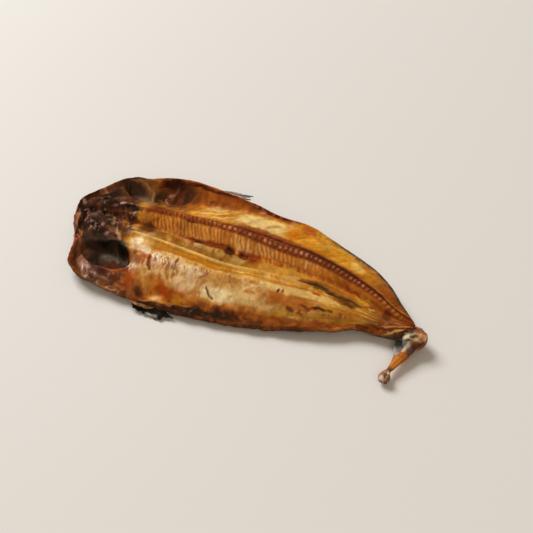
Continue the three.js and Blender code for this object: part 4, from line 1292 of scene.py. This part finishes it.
def food_material(name, bump, grain, glow):
    """Cooked surface: colour and gloss from the mesh, with fine grain, a coat of oil and soft depth."""
    material = bpy.data.materials.new(name)
    material.use_nodes = True
    nodes, links = material.node_tree.nodes, material.node_tree.links
    shader = nodes["Principled BSDF"]
    tint = nodes.new("ShaderNodeAttribute")
    tint.attribute_name = "tint"
    gloss = nodes.new("ShaderNodeAttribute")
    gloss.attribute_name = "gloss"
    place_of = nodes.new("ShaderNodeTexCoord")
    speckle = nodes.new("ShaderNodeTexNoise")
    set_inputs(speckle, {"Scale": grain, "Detail": GRAIN_DETAIL})
    links.new(place_of.outputs["Object"], speckle.inputs["Vector"])
    shades = nodes.new("ShaderNodeMapRange")
    set_inputs(shades, dict(zip(("From Min", "From Max", "To Min", "To Max"), GRAIN_FROM + GRAIN_TO)))
    links.new(speckle.outputs["Fac"], shades.inputs["Value"])
    darken = nodes.new("ShaderNodeVectorMath")
    darken.operation = "SCALE"
    links.new(tint.outputs["Color"], darken.inputs[0])
    links.new(shades.outputs["Result"], darken.inputs["Scale"])
    links.new(darken.outputs["Vector"], shader.inputs["Base Color"])
    links.new(gloss.outputs["Fac"], shader.inputs["Coat Weight"])
    smoother = nodes.new("ShaderNodeMath")
    smoother.operation = "MULTIPLY_ADD"
    set_inputs(smoother, {1: -SMOOTHED_BY_GLOSS, 2: DRY_ROUGHNESS})
    links.new(gloss.outputs["Fac"], smoother.inputs[0])
    links.new(smoother.outputs["Value"], shader.inputs["Roughness"])
    raised = nodes.new("ShaderNodeBump")
    set_inputs(raised, {"Strength": 1, "Distance": bump * MILLIMETRE})
    links.new(speckle.outputs["Fac"], raised.inputs["Height"])
    links.new(raised.outputs["Normal"], shader.inputs["Normal"])
    set_inputs(shader, {
        "Specular IOR Level": 0, "Coat Roughness": OIL_ROUGHNESS, "Subsurface Weight": glow,
        "Subsurface Radius": GLOW_RADIUS, "Subsurface Scale": GLOW_DEPTH * MILLIMETRE,
    })
    return material


# Tail, as rings (x, y, z, half width, half height) from inside the body to the curled tip

TAIL = [
    (126, 1, 7, 3.6, 2.4), (131, 0, 7.6, 4.2, 2.8), (135.5, -2.6, 8.4, 5.2, 3.2),
    (138.2, -6.4, 8.6, 8.8, 3.8), (137.4, -11, 7.8, 8.2, 3.7), (136.3, -15.5, 6.9, 5.6, 3.3),
    (135.6, -20, 6.2, 3.8, 2.8), (133.8, -24.5, 5.8, 3.2, 2.4), (130.8, -30, 5.4, 3, 2.2),
    (128.5, -36, 5.1, 2.3, 1.9), (127, -40, 5, 1.7, 1.6), (126, -43, 4.8, 2.9, 2.2),
    (125.4, -46.5, 4.6, 4.1, 2.8), (125.2, -50, 4.4, 3, 1.8),
]
TAIL_RINGS = 150
TAIL_SIDES = 48
TAIL_BOXINESS = 0.8
LEAST_HEIGHT = 0.15

# Places on the tail's upper side, given as the spots of the body are
TAIL_SPOTS = (
    ((170, 112, 70), 143, -6, 6, 9, -8, 0.9, 0.1),
    ((196, 146, 100), 141.4, -7, 2, 6, -10, 0.8, 0.1),
    ((140, 76, 44), 141, -2.4, 7, 2.6, -24, 0.9, 0.05),
    ((198, 178, 138), 131.5, -11.5, 6, 3, 24, 0.9, 0.15),
    ((210, 188, 146), 134.6, -9.6, 4, 1.8, 10, 0.8, 0.2),
    ((96, 92, 92), 130.8, -16, 4, 4.4, 0, 0.95, 0.05),
    ((66, 48, 32), 137.2, -9.8, 4, 2.4, 24, 0.95, 0),
    ((60, 48, 36), 134, -13.4, 2.4, 1.6, 0, 0.8, 0),
    ((206, 166, 112), 139.4, -13.4, 2.4, 4, 0, 0.9, 0.1),
    ((120, 84, 56), 136.6, -14, 1.8, 3, 0, 0.8, 0),
    ((88, 50, 34), 140.4, -17, 6, 4.4, 40, 0.95, 0),
    ((74, 46, 34), 145, -14, 3, 6, -30, 0.9, 0),
    ((214, 168, 130), 146.6, -7, 1.6, 6, -14, 0.8, 0.1),
    ((82, 62, 52), 137.6, -21.4, 4, 5, 0, 0.9, 0.05),
    ((196, 176, 152), 133.4, -19.6, 1.4, 5, -20, 0.85, 0.1),
    # painted highlight on the nub
    ((226, 190, 164), 123.9, -49.4, 2.8, 3, 0, 0.95, 0.4),
    ((134, 94, 54), 127.8, -46.6, 2.4, 4.4, 0, 0.9, 0.2),
    ((216, 182, 122), 127, -43.6, 3, 1.6, 0, 0.9, 0.3),
    ((96, 58, 36), 125.9, -46.6, 0.9, 5, 0, 0.8, 0.05),
)


def make_tail(material):
    shares = np.linspace(0, 1, TAIL_RINGS)
    rings = curve_through(TAIL)(shares)
    middle, half_width, half_height = rings[:, :3], rings[:, 3], rings[:, 4]
    step = np.gradient(middle[:, :2], axis=0)
    side = np.stack([step[:, 1], -step[:, 0]], 1) / np.linalg.norm(step, axis=1)[:, None]
    angle = 2 * np.pi * np.arange(TAIL_SIDES) / TAIL_SIDES
    share, turn = np.meshgrid(shares, angle, indexing="ij")
    across = np.sign(np.cos(turn)) * np.abs(np.cos(turn)) ** TAIL_BOXINESS
    height = np.sign(np.sin(turn)) * np.abs(np.sin(turn)) ** TAIL_BOXINESS
    # along the tail: the folded lobe, the bunch of rays and the nub at its tip
    lobe = fall(share, 0.44, 0.52)
    bunch = between(share, 0.52, 0.81, 0.04)
    nub = ramp(share, 0.84, 0.9)
    rays = np.cos(7 * turn + 5 * share)
    out = 1 + 0.05 * rays * bunch
    points = np.zeros((*share.shape, 3))
    points[..., :2] = middle[:, None, :2] + side[:, None, :] * (half_width[:, None] * across * out)[..., None]
    x, y = points[..., 0], points[..., 1]
    top = ramp(np.sin(turn), 0, 0.6)
    folds = cloud(x, y, 4.5, 307, 3) * lobe + 0.9 * ramp(-across, 0.5, 0.9) * between(share, 0.16, 0.4, 0.05)
    crease = fall(np.abs(across + 0.1), 0.05, 0.35) * nub
    z = middle[:, None, 2] + half_height[:, None] * height * out + top * (1.1 * folds - 0.9 * crease)
    points[..., 2] = np.maximum(z, LEAST_HEIGHT)
    paint = Paint(share.shape, (164, 140, 108), 0.1)
    paint.coat(ramp(cloud(x, y, 5, 303), 0.0, 0.6) * 0.7, (112, 78, 50))
    paint.coat(ramp(cloud(x, y, 3.4, 305), 0.2, 0.7) * 0.8, (196, 172, 132), 0.2)
    paint.coat(ramp(np.cos(turn), 0.8, 1) * lobe * 0.8, (52, 44, 34), 0)
    paint.coat(fall(share, 0.05, 0.2), (126, 70, 40), 0)
    paint.coat(bunch, (186, 106, 34), 0.12)
    paint.coat(bunch * ramp(rays, -0.2, 0.9) * 0.6, (220, 152, 66))
    paint.coat(bunch * ramp(cloud(x, y, 5, 309), 0.1, 0.7) * 0.6, (150, 74, 30))
    paint.coat(between(share, 0.8, 0.86, 0.03) * 0.85, (92, 52, 32), 0.05)
    paint.coat(nub * 0.95, (152, 102, 72), 0.2)
    paint.coat(fall(height, -0.9, -0.1) * (lobe + nub) * 0.8, (70, 46, 32), 0)
    for colour, spot_x, spot_y, half_length, half_width, tilt, cover, gloss in TAIL_SPOTS:
        spot = inside_oval(x, y, (spot_x, spot_y), (half_length, half_width), tilt, 0.5)
        paint.coat(cover * top * spot, colour, gloss)
    paint.coat(ramp(-across, 0.82, 0.98) * between(share, 0.14, 0.42, 0.04) * 0.8, (142, 76, 42), 0.05)
    make_piece("fish_tail", points, TAIL_SIDES // 2, material, paint)


# Fins: fans of rays with a thin web, as (name, root line, tips, rays, tear, seed, colours, gloss, spots)

FINS = (
    (
        "near_fin", ((-68, -42, 4.6), (-48, -43, 4.2)),
        (
            (-60, -52.6, 3.4), (-51.2, -53.8, 2), (-44.8, -54, 1.5), (-38, -55, 1.2), (-35, -51.6, 2.6),
            (-28, -50, 2.8), (-36, -48, 3.6),
        ),
        9, 0.06, 401, (FIN_BLACK, (24, 22, 18), (60, 56, 44)), 0.05,
        # the near fin's two pale spots are painted glints
        (((176, 166, 156), (-47, -53), (4, 1.6)), ((150, 140, 132), (-42.5, -52.6), (3, 1.6))),
    ),
    (
        "near_fin_base", ((-70, -42, 5.4), (-46, -43, 5.2)),
        ((-64, -49.6, 5), (-58, -50.8, 4.6), (-51.6, -50.6, 4.3), (-47, -49, 4.3), (-43, -46.4, 4.3)),
        3, 0.05, 431, ((140, 96, 58), (104, 62, 36), (176, 126, 80)), 0.05, (),
    ),
    (
        "far_fin", ((-61, 73.5, 26), (-52, 70, 24.5)),
        ((-28, 82.8, 23.2), (-22.6, 83.4, 22.2), (-17.4, 83.8, 21.4), (-17.8, 80.4, 20.6), (-23, 77.4, 21.4)),
        4, 0.2, 411, ((168, 156, 138), (66, 54, 44), (140, 128, 110)), 0.1,
        (((84, 78, 76), (-22, 79), (6, 2.4)), ((206, 196, 180), (-30, 78), (6, 1.6))),
    ),
    (
        "tail_web", ((130.4, -31, 5.1), (133, -11.6, 6.4)),
        ((126.6, -34, 4.7), (127.2, -26, 5), (126, -18, 5.3), (126.4, -11.6, 5.6)),
        1, 0.02, 421, ((172, 158, 142), (150, 134, 118), (192, 178, 160)), 0.1,
        (
            ((158, 116, 84), (128.6, -30), (3, 6)), ((112, 106, 104), (131, -18), (5, 6)),
            ((42, 39, 30), (127.6, -11.5), (7, 9)),
        ),
    ),
)


STEPS_PER_RAY = 8
LEAST_FIN_STEPS = 24
FIN_STEPS_OUT = 40


def make_fin(material, name, root_line, tips, rays, tear, seed, colours, gloss, spots):
    """Fan of rays: ridges of one thin blade, which is thinner and torn short between them."""
    across_steps = max(rays * STEPS_PER_RAY, LEAST_FIN_STEPS)
    across = np.linspace(0, 1, across_steps + 1)
    out = np.linspace(0, 1, FIN_STEPS_OUT + 1)
    edge = curve_through(tips)(across)
    root = lerp(*np.array(root_line, float), across[:, None])
    ray = wave(across * rays)
    torn = 1 - tear * (1 + 0.6 * noise(across * 40, 0 * across, 2, seed)) * (1 - ray)
    reach = out[:, None] * torn[None, :]
    middle = lerp(root[None], edge[None], reach[..., None])
    ripple = 0.5 * noise(middle[..., 0], middle[..., 1], 7, seed + 1) * out[:, None]
    thick = FIN_THICKNESS * (0.35 + 0.65 * ray[None, :] ** 2) * (1 - 0.6 * out[:, None])
    upper, lower = middle.copy(), middle.copy()
    upper[..., 2] += ripple + thick / 2
    lower[..., 2] += ripple - thick / 2
    rings = np.concatenate([upper, lower[:, ::-1]], 1)
    paint = Paint(rings.shape[:2], colours[0], gloss)
    x, y = rings[..., 0], rings[..., 1]
    shade = np.concatenate([ray, ray[::-1]])[None, :] * np.ones_like(x)
    paint.coat(ramp(shade, 0.3, 0.9) * 0.8, colours[1])
    paint.coat(ramp(cloud(x, y, 5, seed + 2), 0.2, 0.8) * 0.7, colours[2])
    for colour, spot, half in spots:
        paint.coat(0.9 * inside_oval(x, y, spot, half, 0, 0.5), colour)
    make_piece(name, rings, across_steps + 1, material, paint)


def make_body(material):
    face = Face(patches(UPPER_STEPS))
    upper = np.stack([face.x, face.y, face.upper + relief(face)], -1)
    paint = upper_paint(face)
    parts = patches(LOWER_STEPS)
    join = lambda arrays: np.concatenate(arrays, 1)[:, ::-1]
    x, y = join([part.x for part in parts]), join([part.y for part in parts])
    z = join([close_at_edge(part, upper_face(part), lower_face(part))[1] for part in parts])
    under = lower_paint(x, y)
    rings = np.concatenate([upper, np.stack([x, y, z], -1)], 1)
    paint.colour = np.concatenate([paint.colour, under.colour], 1)
    paint.gloss = np.concatenate([paint.gloss, under.gloss], 1)
    make_piece("fish_body", rings, face.x.shape[1], material, paint)


# Stage: the camera stands in the drawing's millimetres, the floor and the lights in metres

PHOTO_SIDE = 533
FOCAL_PIXELS = 643.8
SENSOR = 36.0
CAMERA_PLACE = (124.436, -326.543, 350.804)
CAMERA_LOOK = (-0.21540, 0.69592, -0.68505)
CAMERA_ROLL = 3.788
FLOOR_HALF = 3.0
FLOOR_COLOUR = (226, 218, 207)
FLOOR_FINISH = {"Roughness": 0.6, "Specular IOR Level": 0.2}
LIT_PLACE = (0, 0, 0.01)
LIGHTS = (
    # as (name, middle, size, power, colour)
    ("window", (-3.4, 2.0, 3.5), (2.9, 2.3), 308, (0.875, 0.93, 1)),
    ("front_fill", (1.6, -3.2, 3.0), (3.6, 3.0), 44, (1, 0.9, 0.8)),
)
SURROUND_COLOUR = (1, 0.9, 0.77, 1)
SURROUND_STRENGTH = 0.27


def make_camera():
    camera = bpy.data.objects.new("camera", bpy.data.cameras.new("camera"))
    camera.data.sensor_width = SENSOR
    camera.data.lens = FOCAL_PIXELS / PHOTO_SIDE * SENSOR
    look = Vector(CAMERA_LOOK).normalized()
    level = look.cross(Vector((0, 0, 1))).normalized()
    right = Matrix.Rotation(math.radians(CAMERA_ROLL), 3, -look) @ level
    up = right.cross(look)
    matrix = Matrix((right, up, -look)).transposed().to_4x4()
    matrix.translation = Vector(place(CAMERA_PLACE))
    camera.matrix_world = matrix
    bpy.context.scene.collection.objects.link(camera)
    bpy.context.scene.camera = camera


def make_floor():
    mesh = bpy.data.meshes.new("floor")
    corners = [(FLOOR_HALF * x, FLOOR_HALF * y, 0) for x, y in ((-1, -1), (1, -1), (1, 1), (-1, 1))]
    mesh.from_pydata(corners, [], [(0, 1, 2, 3)])
    floor = bpy.data.objects.new("floor", mesh)
    material = bpy.data.materials.new("pale_floor")
    material.use_nodes = True
    shader = material.node_tree.nodes["Principled BSDF"]
    set_inputs(shader, {"Base Color": (*to_linear(FLOOR_COLOUR), 1), **FLOOR_FINISH})
    mesh.materials.append(material)
    bpy.context.scene.collection.objects.link(floor)
    floor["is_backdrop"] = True


def make_light(name, middle, size, power, colour):
    light = bpy.data.objects.new(name, bpy.data.lights.new(name, "AREA"))
    light.data.shape = "RECTANGLE"
    light.data.size, light.data.size_y = size
    light.data.energy = power
    light.data.color = colour
    light.location = middle
    light.rotation_euler = (Vector(LIT_PLACE) - Vector(middle)).to_track_quat("-Z", "Y").to_euler()
    bpy.context.scene.collection.objects.link(light)


def make_stage():
    make_floor()
    for light in LIGHTS:
        make_light(*light)
    world = bpy.data.worlds.new("studio")
    world.use_nodes = True
    background = world.node_tree.nodes["Background"]
    set_inputs(background, {"Color": SURROUND_COLOUR, "Strength": SURROUND_STRENGTH})
    bpy.context.scene.world = world
    bpy.context.scene.view_settings.view_transform = "Standard"


make_camera()
make_stage()
flesh = food_material("grilled_flesh", bump=0.12, grain=420, glow=0.1)
skin = food_material("tail_skin", bump=0.15, grain=600, glow=0.05)
horn = food_material("fin_rays", bump=0.05, grain=900, glow=0.0)
make_body(flesh)
make_tail(skin)
for fin in FINS:
    make_fin(horn, *fin)

{"cad_box": CAD_BOX, "visual_box": [list(corner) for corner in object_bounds()]}
